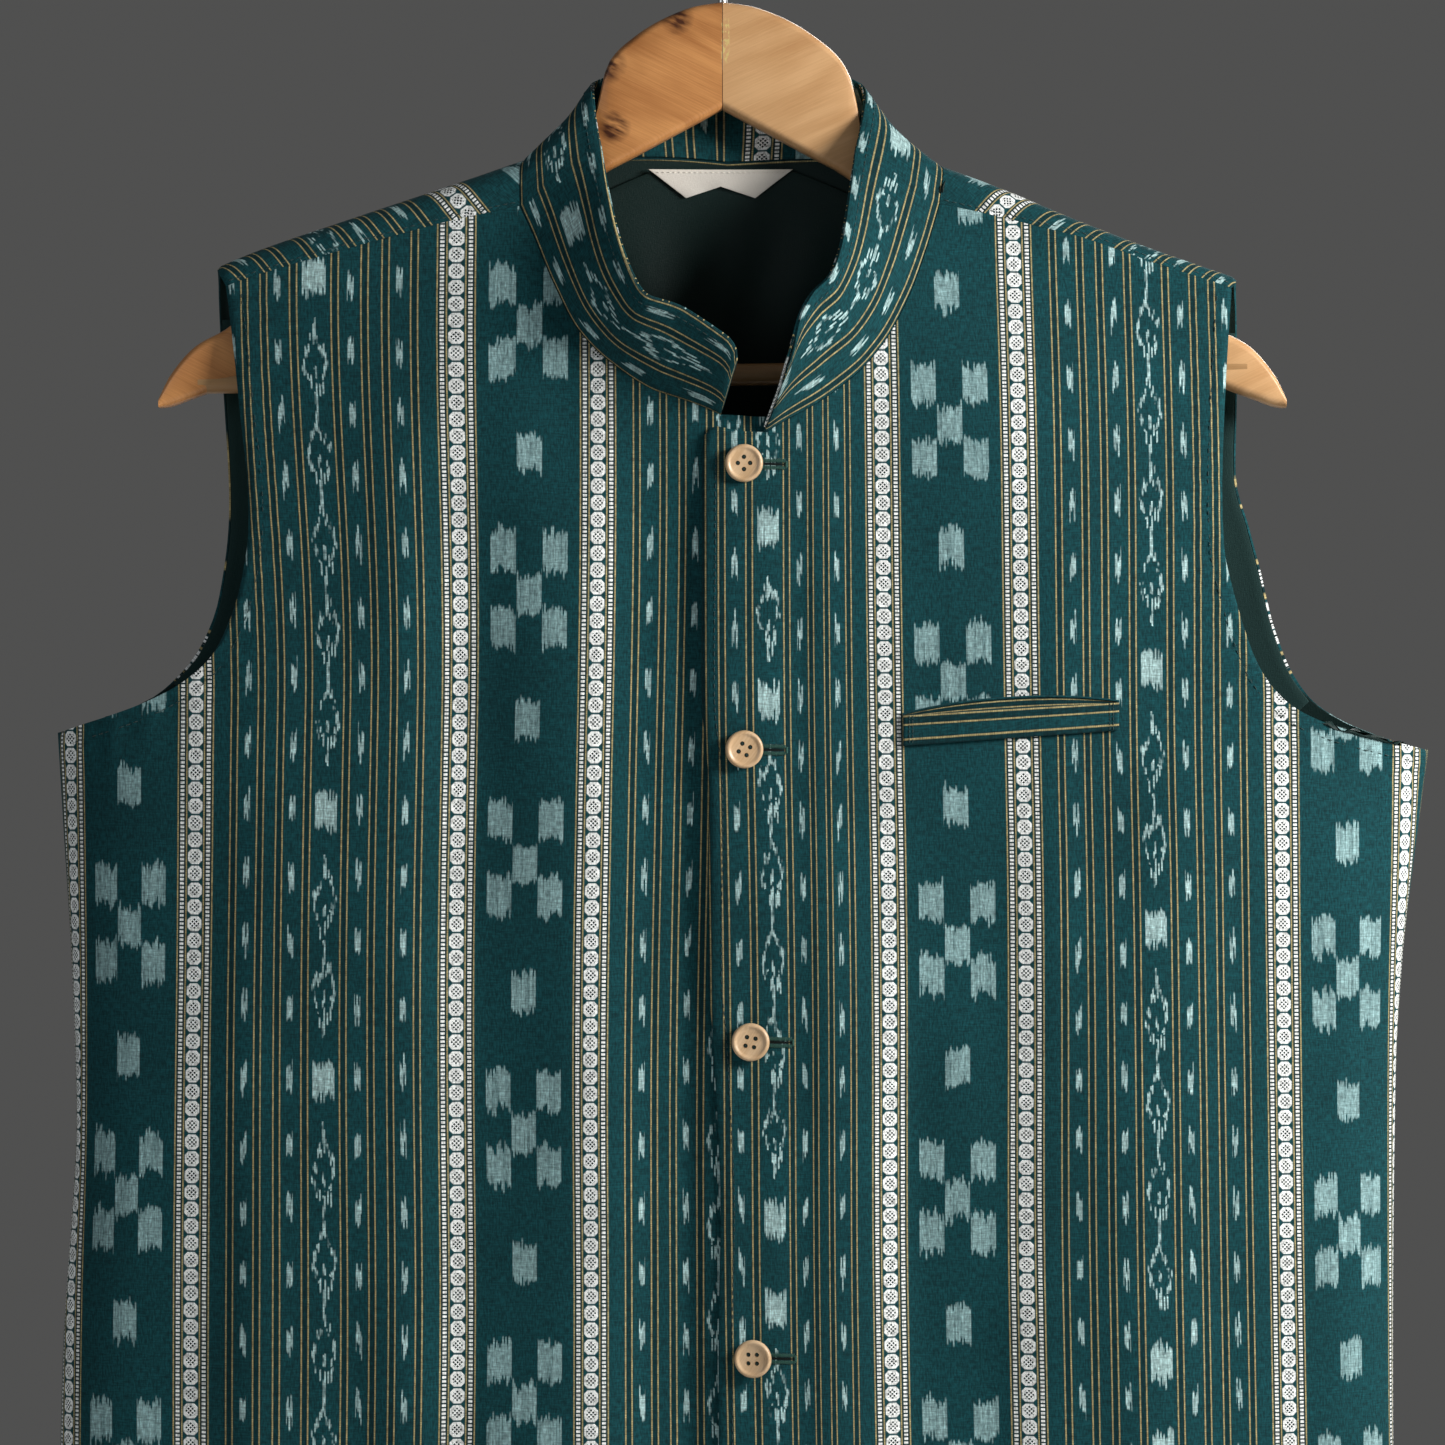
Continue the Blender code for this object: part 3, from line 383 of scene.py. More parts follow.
# Adds nodes to a tree; numbers go on the sockets themselves
class Sketch:

    def __init__(self, tree):
        self.tree = tree

    def add(self, kind, **settings):
        node = self.tree.nodes.new("ShaderNode" + kind)
        for key, value in settings.items():
            setattr(node, key, value)
        return node

    def feed(self, socket, value):
        if isinstance(value, Value):
            self.tree.links.new(value.socket, socket)
        else:
            socket.default_value = value

    def calc(self, operation, *values, clamp=False):
        node = self.add("Math", operation=operation, use_clamp=clamp)
        for socket, value in zip(node.inputs, values):
            self.feed(socket, value)
        return Value(self, node.outputs[0])

    # 1 where the distance is under half, 0 beyond it, over a soft edge
    def within(self, distance, half, soft):
        return self.calc("MULTIPLY_ADD", distance, -1 / soft, half / soft + 0.5, clamp=True)

    # Distance from the nearest multiple of the period, with its sign
    def wrap(self, value, period):
        return self.calc("WRAP", value, period / 2, -period / 2)

    def largest(self, *values):
        total = values[0]
        for value in values[1:]:
            total = self.calc("MAXIMUM", total, value)
        return total

    def pair(self, x, y):
        node = self.add("CombineXYZ")
        self.feed(node.inputs[0], x)
        self.feed(node.inputs[1], y)
        return Value(self, node.outputs[0])

    def parts(self, value):
        node = self.add("SeparateXYZ")
        self.feed(node.inputs[0], value)
        return [Value(self, output) for output in node.outputs]

    def place(self):
        return Value(self, self.add("TexCoord").outputs["Object"])

    # Noise between about 0.3 and 0.7, brought to low to high where these are given
    def noise(self, x, y, detail=2.0, low=None, high=None):
        node = self.add("TexNoise")
        self.feed(node.inputs["Vector"], self.pair(x, y))
        node.inputs["Scale"].default_value = 1.0
        node.inputs["Detail"].default_value = detail
        result = Value(self, node.outputs["Fac"])
        return result if low is None else self.spread(result, low, high)

    def spread(self, value, low, high):
        node = self.add("MapRange")
        self.feed(node.inputs["Value"], value)
        for name, number in (("From Min", 0.3), ("From Max", 0.7), ("To Min", low), ("To Max", high)):
            node.inputs[name].default_value = number
        return Value(self, node.outputs[0])

    def paint(self, share, under, over, kind="MIX"):
        node = self.add("Mix", data_type="RGBA", blend_type=kind)
        self.feed(node.inputs[0], share)
        for socket, value in ((node.inputs[6], under), (node.inputs[7], over)):
            self.feed(socket, value if isinstance(value, Value) else (*value, 1.0))
        return Value(self, node.outputs[2])


def newMaterial(name, look):
    made = bpy.data.materials.new(name)
    made.use_nodes = True
    shader = made.node_tree.nodes["Principled BSDF"]
    for socketName, value in look.items():
        shader.inputs[socketName].default_value = value
    return made, Sketch(made.node_tree), shader


# Gives a shader its colour and its fine relief
def dressShader(draw, shader, colour, height, strength, distance):
    draw.feed(shader.inputs["Base Color"], colour)
    node = draw.add("Bump")
    node.inputs["Strength"].default_value = strength
    node.inputs["Distance"].default_value = distance
    draw.feed(node.inputs["Height"], height)
    draw.feed(shader.inputs["Normal"], Value(draw, node.outputs[0]))


# Woven pattern, in millimetres across and along the stripes

cloth = {
    "ground": (0.0045, 0.057, 0.068),
    "groundDark": (0.002, 0.017, 0.02),
    "figure": (0.3, 0.485, 0.505),
    "figurePale": (0.47, 0.69, 0.7),
    "white": (0.92, 0.96, 0.96),
    "yellow": (0.475, 0.39, 0.185),
    "repeat": 160.0,            # the stripes mirror about the middle of the repeat
    "weave": 0.55,
    "thread": 0.62,             # width of the dyed threads, which slip one by one
    "pairs": (7.6, 18.6, 26.3, 37.0),
    "pairHalf": 1.3,
    "lineHalf": 0.27,
    "plyPitch": 0.9,
    "blockPitch": 108.0,
    "blockHalf": 5.0,           # half width of a block
    "blockStep": 10.4,          # from the band's middle to the outer blocks' middles
    "singleHalf": 7.4,          # half heights of the blocks in the middle and of the outer ones
    "outerHalf": 7.6,
    "crossMiddle": 56.5,
    "outerMiddle": 54.75,
    "outerStep": 15.25,
    "dashes": (13.4, 31.5),
    "dashPitch": 26.6,
    "dashHalf": (1.2, 4.1),
    "loopPitch": 36.0,
    "loopStep": 13.0,           # how far each stripe's loops lie from the last one's
    "loopHalf": (4.7, 12.5),
    "chain": 52.5,
    "chainPitch": 6.75,
    "flowerHalf": (2.95, 3.1),
    "eyePitch": 1.68,
    "ladder": 5.3,
    "ladderPitch": 1.62,
    "dotHalf": (0.8, 0.5),
}


def weavePattern():
    group = bpy.data.node_groups.new("wovenStripes", "ShaderNodeTree")
    for name, way, kind in (("Across", "INPUT", "Float"), ("Along", "INPUT", "Float"),
                            ("Band shift", "INPUT", "Float"), ("Colour", "OUTPUT", "Color"),
                            ("Height", "OUTPUT", "Float")):
        group.interface.new_socket(name=name, in_out=way, socket_type="NodeSocket" + kind)
    draw = Sketch(group)
    given = group.nodes.new("NodeGroupInput")
    across, along, bandShift = [Value(draw, output) for output in given.outputs[:3]]
    u = across * 1000.0
    v = along * 1000.0
    a = draw.calc("PINGPONG", u, cloth["repeat"] / 2)
    thread = draw.calc("FLOOR", u / cloth["thread"])
    bandNumber = draw.calc("FLOOR", u / cloth["repeat"])
    loopNumber = draw.calc("ROUND", u / cloth["repeat"])

    # Dyed threads slip past each other, which frays every dyed figure along the cloth
    slip = draw.noise(thread * 0.83, v * 0.011, 1.0, -2.6, 2.6)
    shifted = v + slip + draw.noise(u * 0.21, v * 0.02, 0.0, -1.4, 1.4)
    threadTone = draw.noise(thread * 3.7, v * 0.05, 1.0, 0.5, 1.12)

    # Ground: dark beside the yellow pairs and under the chains, heathered all over
    chainSide = a - cloth["chain"]
    fromChain = abs(chainSide)
    fromLadder = abs(fromChain - cloth["ladder"])
    lines = [draw.within(abs(fromLadder - 1.75), cloth["lineHalf"], 0.2)]
    shades = [draw.within(fromLadder, 2.0, 0.4)]
    for centre in cloth["pairs"]:
        fromPair = abs(a - centre)
        lines.append(draw.within(abs(fromPair - cloth["pairHalf"]), cloth["lineHalf"], 0.2))
        shades.append(draw.within(fromPair, 1.8, 0.8) * 0.8)
    heather = draw.noise(u * 1.5, v * 0.35)
    slub = draw.noise(u * 0.25, v * 1.7, 2.0, 0.66, 1.34)
    cloud = draw.noise(u * 0.02, v * 0.02, 2.0, 0.88, 1.12)
    tone = draw.spread(heather, 0.55, 1.45) * slub * cloud
    ground = draw.paint(draw.largest(*shades) * 0.72, cloth["ground"], cloth["groundDark"])

    # Frayed blocks in the plain bands: one alone, then five set like a cross
    fromBand = cloth["repeat"] / 2 - a
    row = draw.calc("WRAP", shifted + bandNumber * bandShift, cloth["blockPitch"], 0.0)
    single = abs(draw.wrap(row, cloth["blockPitch"]))
    middle = draw.calc("MINIMUM", single, abs(row - cloth["crossMiddle"]))
    outer = abs(abs(row - cloth["outerMiddle"]) - cloth["outerStep"])
    blocks = draw.largest(
        draw.within(fromBand, cloth["blockHalf"], 0.25) * draw.within(middle, cloth["singleHalf"], 1.2),
        draw.within(abs(fromBand - cloth["blockStep"]), cloth["blockHalf"], 0.25)
        * draw.within(outer, cloth["outerHalf"], 1.2)) * threadTone

    # Short dyed dashes between the yellow pairs
    turn = bandShift * 0.263 + 6.2
    fromDash = abs(slip * 0.5 + draw.wrap(shifted + turn, cloth["dashPitch"]))
    half, length = cloth["dashHalf"]
    dashes = [draw.within(abs(a - centre), half, 0.25) for centre in cloth["dashes"]]
    dash = draw.largest(*dashes) * draw.within(fromDash, length, 1.2)
    dash = dash * draw.noise(thread * 5.1, v * 0.09, 1.0, 0.45, 1.05)

    # Dyed loops on a thin stem down the middle of the figured stripe
    tear = draw.noise(thread * 1.7, v * 0.02 + 30.0, 1.0, -2.0, 2.0)
    fray = loopNumber * cloth["loopStep"] + shifted + tear
    y = draw.wrap(fray, cloth["loopPitch"])
    fromKnot = abs(y)
    fromMiddle = abs(draw.wrap(thread * cloth["thread"] + cloth["thread"] / 2, cloth["repeat"]))
    half, length = cloth["loopHalf"]
    fromLoop = draw.calc("POWER", fromMiddle / half, 1.3) + draw.calc("POWER", fromKnot / length, 1.3)
    ring = draw.within(abs(fromLoop - 0.88), 0.15, 0.08) * draw.calc("LESS_THAN", y, 6.5)
    core = draw.within(fromMiddle, 0.45, 0.2)
    stem = core * (fromKnot > 10.5)
    vein = core * draw.within(abs(y - 3.0), 2.4, 0.5)
    alternate = draw.noise(thread * 2.3, 4.0, 0.0) > 0.47
    knot = draw.within(fromMiddle, 3.0, 0.3) * draw.within(abs(y - 9.8), 2.5, 0.8) * alternate
    chance = draw.add("TexWhiteNoise", noise_dimensions="2D")
    draw.feed(chance.inputs["Vector"], draw.pair(loopNumber, draw.calc("ROUND", fray / cloth["loopPitch"])))
    solid = Value(draw, chance.outputs["Value"]) > 0.82
    blob = draw.within(fromMiddle, 4.4, 0.3) * draw.within(fromKnot, 6.6, 1.5)
    patchy = draw.noise(thread * 1.9, v * 0.16, 1.0, -0.5, 1.9)
    loop = draw.calc("MULTIPLY", draw.largest(ring, stem, vein), patchy, clamp=True)
    loop = draw.largest(loop, knot) * (1.0 - solid)
    loop = blob * threadTone * solid + loop * 0.9

    # Woven chain of eight-sided flowers, with a ladder of dots down each side
    step = draw.wrap(v, cloth["chainPitch"])
    half, length = cloth["flowerHalf"]
    fx = fromChain / half
    fy = abs(step) / length
    flowerSize = draw.largest(fx, fy, (fx + fy) * 0.66)
    slants = [abs(draw.calc("COSINE", slanted * (pi / cloth["eyePitch"])))
              for slanted in (chainSide + step, chainSide - step)]
    eyes = draw.within(flowerSize, 0.66, 0.1) * (slants[0] * slants[1] > 0.48)
    flower = draw.within(flowerSize, 0.97, 0.1) * (1.0 - eyes)
    half, length = cloth["dotHalf"]
    dots = draw.within(fromLadder, half, 0.2)
    dots = dots * draw.within(abs(draw.wrap(v, cloth["ladderPitch"])), length, 0.2)
    white = draw.largest(flower, dots)

    twist = draw.calc("SINE", v * (2 * pi / cloth["plyPitch"])) * 0.14 + 0.86
    yellow = draw.largest(*lines) * twist
    colour = ground
    for share, tint in ((blocks, "figure"), (draw.largest(dash, loop), "figurePale"), (yellow, "yellow"),
                        (white, "white"), (eyes, "groundDark")):
        colour = draw.paint(share, colour, cloth[tint])
    colour = draw.paint(0.85, colour, tone, "MULTIPLY")

    # Threads over and under, and the raised chains and lines
    warp, weft = [draw.calc("SINE", way * (2 * pi / cloth["weave"])) for way in (u, v)]
    height = warp * weft * 0.35 + heather * 0.8 + yellow * 0.6 + white * 0.9
    result = group.nodes.new("NodeGroupOutput")
    draw.feed(result.inputs[0], colour)
    draw.feed(result.inputs[1], height)
    return group


stripes = weavePattern()


def clothMaterial(name, bandShift):
    made, draw, shader = newMaterial(name, {
        "Roughness": 0.82, "Sheen Weight": 0.03, "Sheen Roughness": 0.5, "Specular IOR Level": 0.16})
    x, y, _ = draw.parts(Value(draw, draw.add("UVMap", uv_map="grain").outputs[0]))
    pattern = draw.add("Group", node_tree=stripes)
    for socket, value in zip(pattern.inputs, (x, y, bandShift)):
        draw.feed(socket, value)
    colour, height = [Value(draw, output) for output in pattern.outputs]
    dressShader(draw, shader, colour, height, 0.45, 0.0003)
    return made


# Plain fabric on Object coordinates: fine crossed threads and a slow unevenness
def plainCloth(name, dark, light, roughness, sheen, pitch):
    made, draw, shader = newMaterial(name, {
        "Roughness": roughness, "Sheen Weight": sheen, "Specular IOR Level": 0.3})
    x, _, z = draw.parts(draw.place())
    slow = draw.noise(x * 30.0, z * 30.0)
    threads = (draw.noise(x * (0.25 / pitch), z * (2.0 / pitch))
               + draw.noise(x * (2.0 / pitch), z * (0.25 / pitch)))
    share = draw.calc("MULTIPLY", threads + slow, 0.45, clamp=True)
    dressShader(draw, shader, draw.paint(share, dark, light), threads, 0.3, pitch)
    return made


woodLook = {
    "ringBend": 26.0,
    "ringShare": 0.16,
    "fibres": 1500.0,       # for each metre
    "filler": (0.0012, -0.089, 0.0016, 0.0085),     # old filler in the mitre: x, z and half sizes
    "fillerColour": (0.78, 0.6, 0.24),
    "rim": (-0.128, 0.049, 0.066),      # dark rim of the arch: z of its middle, radius, half width
    "rimColour": (0.33, 0.12, 0.03),
    "knotColour": (0.075, 0.022, 0.009),
}


# Varnished wood with its grain along the piece, tilted about Y. A knot is x, z and radius
def woodMaterial(name, tilt, pale, brown, knots, rimShare, ringScale):
    made, draw, shader = newMaterial(name, {"Roughness": 0.36, "Coat Weight": 0.25, "Coat Roughness": 0.3})
    mapping = draw.add("Mapping")
    mapping.inputs["Rotation"].default_value = (0.0, radians(tilt), 0.0)
    draw.feed(mapping.inputs[0], draw.place())
    x, y, z = draw.parts(Value(draw, mapping.outputs[0]))
    bend = draw.noise(x * 9.0, z * 26.0 + y * 20.0)
    rings = draw.calc("SINE", bend * woodLook["ringBend"] + z * ringScale)
    fibre = draw.noise(x * 40.0, (z + y) * woodLook["fibres"], 3.0)
    blotch = draw.noise(x * 28.0, z * 70.0, 3.0)
    share = rings * woodLook["ringShare"] + draw.spread(fibre, 0.05, 0.45)
    share = draw.calc("ADD", share, draw.spread(blotch, -0.15, 0.35), clamp=True)
    colour = draw.paint(share, pale, brown)
    placeX, _, placeZ = draw.parts(draw.place())

    def awayFrom(spotX, spotZ):
        squares = [draw.calc("POWER", abs(part - spot), 2.0)
                   for part, spot in ((placeX, spotX), (placeZ, spotZ))]
        return draw.calc("SQRT", squares[0] + squares[1])

    if rimShare:
        rimZ, radius, half = woodLook["rim"]
        rim = 1.0 - draw.within(awayFrom(0.0, rimZ), radius, 0.02)
        rim = rim * draw.within(abs(placeX), half, 0.02)
        rim = draw.calc("MULTIPLY", rim, draw.spread(blotch, 0.1, 1.5), clamp=True)
        colour = draw.paint(rim * rimShare, colour, woodLook["rimColour"])
    for knotX, knotZ, radius in knots:
        knot = draw.within(awayFrom(knotX, knotZ), radius, radius * 0.9)
        swirl = draw.noise(x * 110.0, z * 420.0, 3.0, -0.1, 1.5)
        colour = draw.paint(draw.calc("MULTIPLY", knot, swirl, clamp=True), colour, woodLook["knotColour"])
    if knots or rimShare:
        chipX, chipZ, halfX, halfZ = woodLook["filler"]
        chips = draw.noise(placeX * 900.0, placeZ * 420.0) > 0.53
        chips = chips * draw.within(abs(placeX - chipX), halfX, 0.0005)
        chips = chips * draw.within(abs(placeZ - chipZ), halfZ, 0.002)
        colour = draw.paint(chips, colour, woodLook["fillerColour"])
    dressShader(draw, shader, colour, fibre, 0.25, 0.0004)
    return made


def threadMaterial(name, colour):
    made, draw, shader = newMaterial(name, {"Roughness": 0.7, "Sheen Weight": 0.2})
    x, _, z = draw.parts(draw.place())
    ply = draw.noise(x * 2600.0, z * 2600.0)
    dark = tuple(0.55 * part for part in colour)
    dressShader(draw, shader, draw.paint(draw.spread(ply, 0.0, 1.0), dark, colour), ply, 0.4, 0.0002)
    return made


def metalMaterial():
    made, draw, shader = newMaterial("brightWire", {"Metallic": 1.0})
    x, _, z = draw.parts(draw.place())
    wear = draw.noise(x * 300.0, z * 90.0)
    colour = draw.paint(draw.spread(wear, 0.0, 1.0), (0.52, 0.52, 0.53), (0.74, 0.74, 0.73))
    draw.feed(shader.inputs["Base Color"], colour)
    draw.feed(shader.inputs["Roughness"], draw.spread(wear, 0.16, 0.34))
    return made


armKnots = [(-0.0185, -0.08, 0.005), (-0.047, -0.0985, 0.006), (-0.044, -0.124, 0.005)]
finishes = {
    "leftFront": clothMaterial("stripedClothLeft", -15.0),
    "rightFront": clothMaterial("stripedClothRight", 26.0),
    "back": clothMaterial("stripedClothBack", 20.0),
    "lining": plainCloth("satinLining", (0.001, 0.0092, 0.0086), (0.0026, 0.0225, 0.0205), 0.56, 0.0, 0.0005),
    "facing": plainCloth("facingCloth", (0.004, 0.023, 0.023), (0.0105, 0.045, 0.043), 0.8, 0.05, 0.0006),
    "label": plainCloth("labelTape", (0.8, 0.76, 0.69), (0.95, 0.91, 0.84), 0.75, 0.1, 0.0004),
    # Painted shade: near-black cloth for the sheets that stand for the shadow inside the buttonhole slits
    "dark": plainCloth("slitShadePaint", (0.001, 0.0035, 0.0035), (0.0025, 0.007, 0.007), 0.9, 0.0, 0.0006),
    "woodLeft": woodMaterial("woodPale", 24, (0.78, 0.47, 0.23), (0.58, 0.305, 0.125), [], 0.12, 500.0),
    "woodRight": woodMaterial("woodKnotty", -26, (0.74, 0.345, 0.12), (0.42, 0.155, 0.042),
                              armKnots, 0.9, 420.0),
    "woodBar": woodMaterial("woodBar", 0, (0.56, 0.34, 0.16), (0.43, 0.23, 0.09), [], 0.0, 700.0),
    "buttonWood": woodMaterial("buttonWood", 55, (0.82, 0.59, 0.37), (0.56, 0.34, 0.16), [], 0.0, 900.0),
    "thread": threadMaterial("darkThread", (0.01, 0.055, 0.055)),
    "holeThread": threadMaterial("buttonholeThread", (0.012, 0.11, 0.085)),
    "metal": metalMaterial(),
}
print("materials ready")


# Pieces

def meshObject(name, shape):
    mesh = bpy.data.meshes.new(name)
    shape.to_mesh(mesh)
    shape.free()
    made = bpy.data.objects.new(name, mesh)
    bpy.context.collection.objects.link(made)
    return made


def finishPiece(name, shape, finishList, nodes=(), sharpAngle=None):
    piece = meshObject(name, shape)
    for key in finishList:
        piece.data.materials.append(finishes[key])
    piece.data.shade_smooth()
    if sharpAngle:
        piece.data.set_sharp_from_angle(angle=radians(sharpAngle))
    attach(piece, "root")
    if nodes:
        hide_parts(*nodes)
    return piece


# A sheet of quads, turned so that most of it faces the way that ahead gives for a spot
# Its functions place and grainAt take shares across and down
def gridSheet(columns, rows, place, grainAt, ahead):
    sheet = bmesh.new()
    layer = sheet.loops.layers.uv.new("grain")
    verts = bmesh.ops.create_grid(sheet, x_segments=columns, y_segments=rows, size=1.0)["verts"]
    places = {}
    for vert in verts:
        s = min(max((vert.co.x + 1) / 2, 0.0), 1.0)
        t = min(max((1 - vert.co.y) / 2, 0.0), 1.0)
        vert.co = place(s, t)
        places[vert] = grainAt(s, t)
    for face in sheet.faces:
        for loop in face.loops:
            loop[layer].uv = places[loop.vert]
    sheet.normal_update()
    total = sum(face.normal.dot(ahead(face.calc_center_median())) * face.calc_area()
                for face in sheet.faces)
    if total < 0:
        bmesh.ops.reverse_faces(sheet, faces=sheet.faces)
    return sheet


def toFront(spot):
    return Vector((0, front, 0))


def toBack(spot):
    return Vector((0, back, 0))


# Thickness behind the sheet, with its edges a little rounded
def giveWall(piece, thickness, innerFinish=0, rounding=0.0004):
    wall = piece.modifiers.new("wall", "SOLIDIFY")
    wall.thickness = thickness
    wall.offset = -1
    wall.material_offset = innerFinish
    edge = piece.modifiers.new("edge", "BEVEL")
    edge.width = rounding
    edge.segments = 2
    edge.limit_method = "ANGLE"
    edge.angle_limit = radians(60)


# Surface stretched between four edges, each a function of a share from 0 to 1
def patch(top, bottom, left, right, ease):
    def place(s, t):
        across = ease(s)
        rails = top(s) * (1 - t) + bottom(s) * t
        sides = left(t) * (1 - across) + right(t) * across
        corners = ((top(0) * (1 - across) + top(1) * across) * (1 - t)
                   + (bottom(0) * (1 - across) + bottom(1) * across) * t)
        return rails + sides - corners
    return place


# The spots of a patch, evened out inside its edges so that no row folds over
# The topmost share of the rows is held where it is
def evened(flat, shape):
    columns = shape["columns"]
    rows = shape["rows"]
    spots = numpy.array([[tuple(flat(i / columns, j / rows)) for i in range(columns + 1)]
                         for j in range(rows + 1)])
    loose = numpy.ones((rows - 1, 1, 1))
    if shape["heldTop"] > 0:
        loose[:, 0, 0] = [smoothStep(0.01, shape["heldTop"], j / rows) for j in range(1, rows)]
    for _ in range(shape["rounds"]):
        mean = (spots[:-2, 1:-1] + spots[2:, 1:-1] + spots[1:-1, :-2] + spots[1:-1, 2:]) / 4
        spots[1:-1, 1:-1] += (mean - spots[1:-1, 1:-1]) * loose
    return lambda s, t: Vector(spots[round(t * rows), round(s * columns)])


def wrapped(points, side):
    return [(x, wrappedFrom(x, z, side)) for x, z in points]


# The side seam from under the armhole to the hem
def sidePoints(sign, side, topZ):
    steps = 12
    heights = [topZ + (body["hemSide"] - topZ) * i / steps for i in range(steps + 1)]
    return [(sign * side(z), z) for z in heights]


def hemPoints(startX, endX, startZ, side):
    steps = 10
    shares = [i / steps for i in range(steps + 1)]
    return wrapped([(startX + (endX - startX) * share, startZ + (body["hemSide"] - startZ) * share ** 2)
                    for share in shares], side)


flatNeck = [(x, wrappedFrom(x, z, side)) for x, z, side, *_ in neckRows]
leftNeck = flatNeck[:neckEnds[0] + 1]
backNeck = flatNeck[neckEnds[0]:neckEnds[1] + 1]
rightNeck = flatNeck[neckEnds[1]:]

frontShape = {
    "columns": 112,
    "rows": 189,
    "wall": 0.0014,
    "armholeShare": 10 / 27,    # where the edges' parts meet, as shares of the way
    "leadShare": 2 / 16,
    "neckShare": 9 / 16,
    "bunch": 1.5,
    "seamSink": 0.0006,         # cloth turns in at its seams
    "edgeSink": 0.0009,         # and rolls in at its open edges
    "underlap": 0.026,
    "rounds": 8,
    "heldTop": 0.0,
    "puckerDepth": 0.00042,
    "puckerPitch": 0.0125,
    "puckerMiddle": 0.009,      # where the ripples are deepest, from the edge; how they fade; their end
    "puckerWidth": 0.008,
    "puckerReach": 0.03,
    "puckerPart": (0.6, 0.36),  # they lie beyond this share across, and within this length down
}


# Distance from a spot to a fine row of points, and how far along the row that is
def nearestOn(points, spot):
    best = 1e9
    run = 0.0
    at = 0.0
    last = points[0]
    for point in points:
        run += (point - last).length
        last = point
        gap = (point - spot).length_squared
        if gap < best:
            best = gap
            at = run
    return sqrt(best), at


# How far a body piece is turned in at its edges
def sinkAt(s, t):
    if t == 0:
        return frontShape["seamSink"]
    return frontShape["edgeSink"] if s in (0, 1) else 0.0


# Small ripples that a row of stitches draws up beside an edge
def pucker(points, spot):
    shape = frontShape
    gap, at = nearestOn(points, spot)
    if gap > shape["puckerReach"]:
        return 0.0
    ripple = sin(2 * pi * at / shape["puckerPitch"] + 1.5 * sin(at * 90))
    return shape["puckerDepth"] * ripple * bump(gap, shape["puckerMiddle"], shape["puckerWidth"])


def buildFront(name, node, sign, lead, neck, shoulder, armhole, side, edge, lift, grainAt, finish):
    shape = frontShape
    sideLine = sidePoints(sign, side, armhole[-1][1])
    top = joined([pathThrough(wrapped(lead, front) + [neck[0]]), pathThrough(neck),
                  pathThrough(wrapped(shoulder, front))], [shape["leadShare"], shape["neckShare"]])
    outer = joined([pathThrough(wrapped(armhole, front)), pathThrough(wrapped(sideLine, front))],
                   [shape["armholeShare"]])
    inner = pathThrough(wrapped(edge, front))
    hem = pathThrough(hemPoints(edge[-1][0], sideLine[-1][0], edge[-1][1], front))
    armholeRow = [outer(i / 120 * shape["armholeShare"]) for i in range(121)]

    def ease(share):
        return 1 - (1 - share) ** shape["bunch"]

    flat = evened(patch(top, lambda share: hem(ease(share)), inner, outer, ease), shape)
    puckerAcross, puckerDown = shape["puckerPart"]

    def place(s, t):
        spot = flat(s, t)
        if s == 1 and t > shape["armholeShare"] - 0.001:
            return Vector((spot.x, -0.0001, wrappedZ(spot.x, spot.y)))
        sink = sinkAt(s, t)
        if spot.y < puckerDown and s > puckerAcross:
            sink -= pucker(armholeRow, spot)
        point = wallPoint(spot.x, spot.y, sink)
        point.y = min(point.y, -0.0001) - lift(spot.x)
        return point

    def grainHere(s, t):
        spot = flat(s, t)
        return grainAt(spot.x, wrappedZ(spot.x, spot.y))

    made = gridSheet(shape["columns"], shape["rows"], place, grainHere, toFront)
    piece = finishPiece(name, made, [finish, "lining"], [node])
    giveWall(piece, shape["wall"], 1)
    return piece


leftFrontPiece = buildFront(
    "leftFrontCloth", "front_left", 1, [leftFrontEdge[0], (0.007, -0.2492)], leftNeck, leftShoulderSeam,
    leftFrontArmhole, leftSide, leftFrontEdge, leftLift, leftFrontGrain, "leftFront")
underEdge = [(frontShape["underlap"], z) for z in (-0.244, -0.45, body["hemCentre"] + 0.002)]
rightFrontPiece = buildFront(
    "rightFrontCloth", "front_right", -1, [underEdge[0], (0.012, -0.2432)], rightNeck[::-1], rightShoulderSeam,
    rightFrontArmhole, rightSide, underEdge, lambda x: 0.0, rightFrontGrain, "rightFront")
print("fronts ready")


backShape = {
    "columns": 160,
    "rows": 168,
    "wall": 0.0014,
    "armholeShare": 13 / 28,
    "topBunch": 1.7,
    "shoulderShare": 10 / 32,
    "sideBunch": 1.35,
    "crossings": (-0.206, 0.2095),      # x at which each side's edge passes over the shoulder
    "rounds": 9,
    "heldTop": 0.12,
}


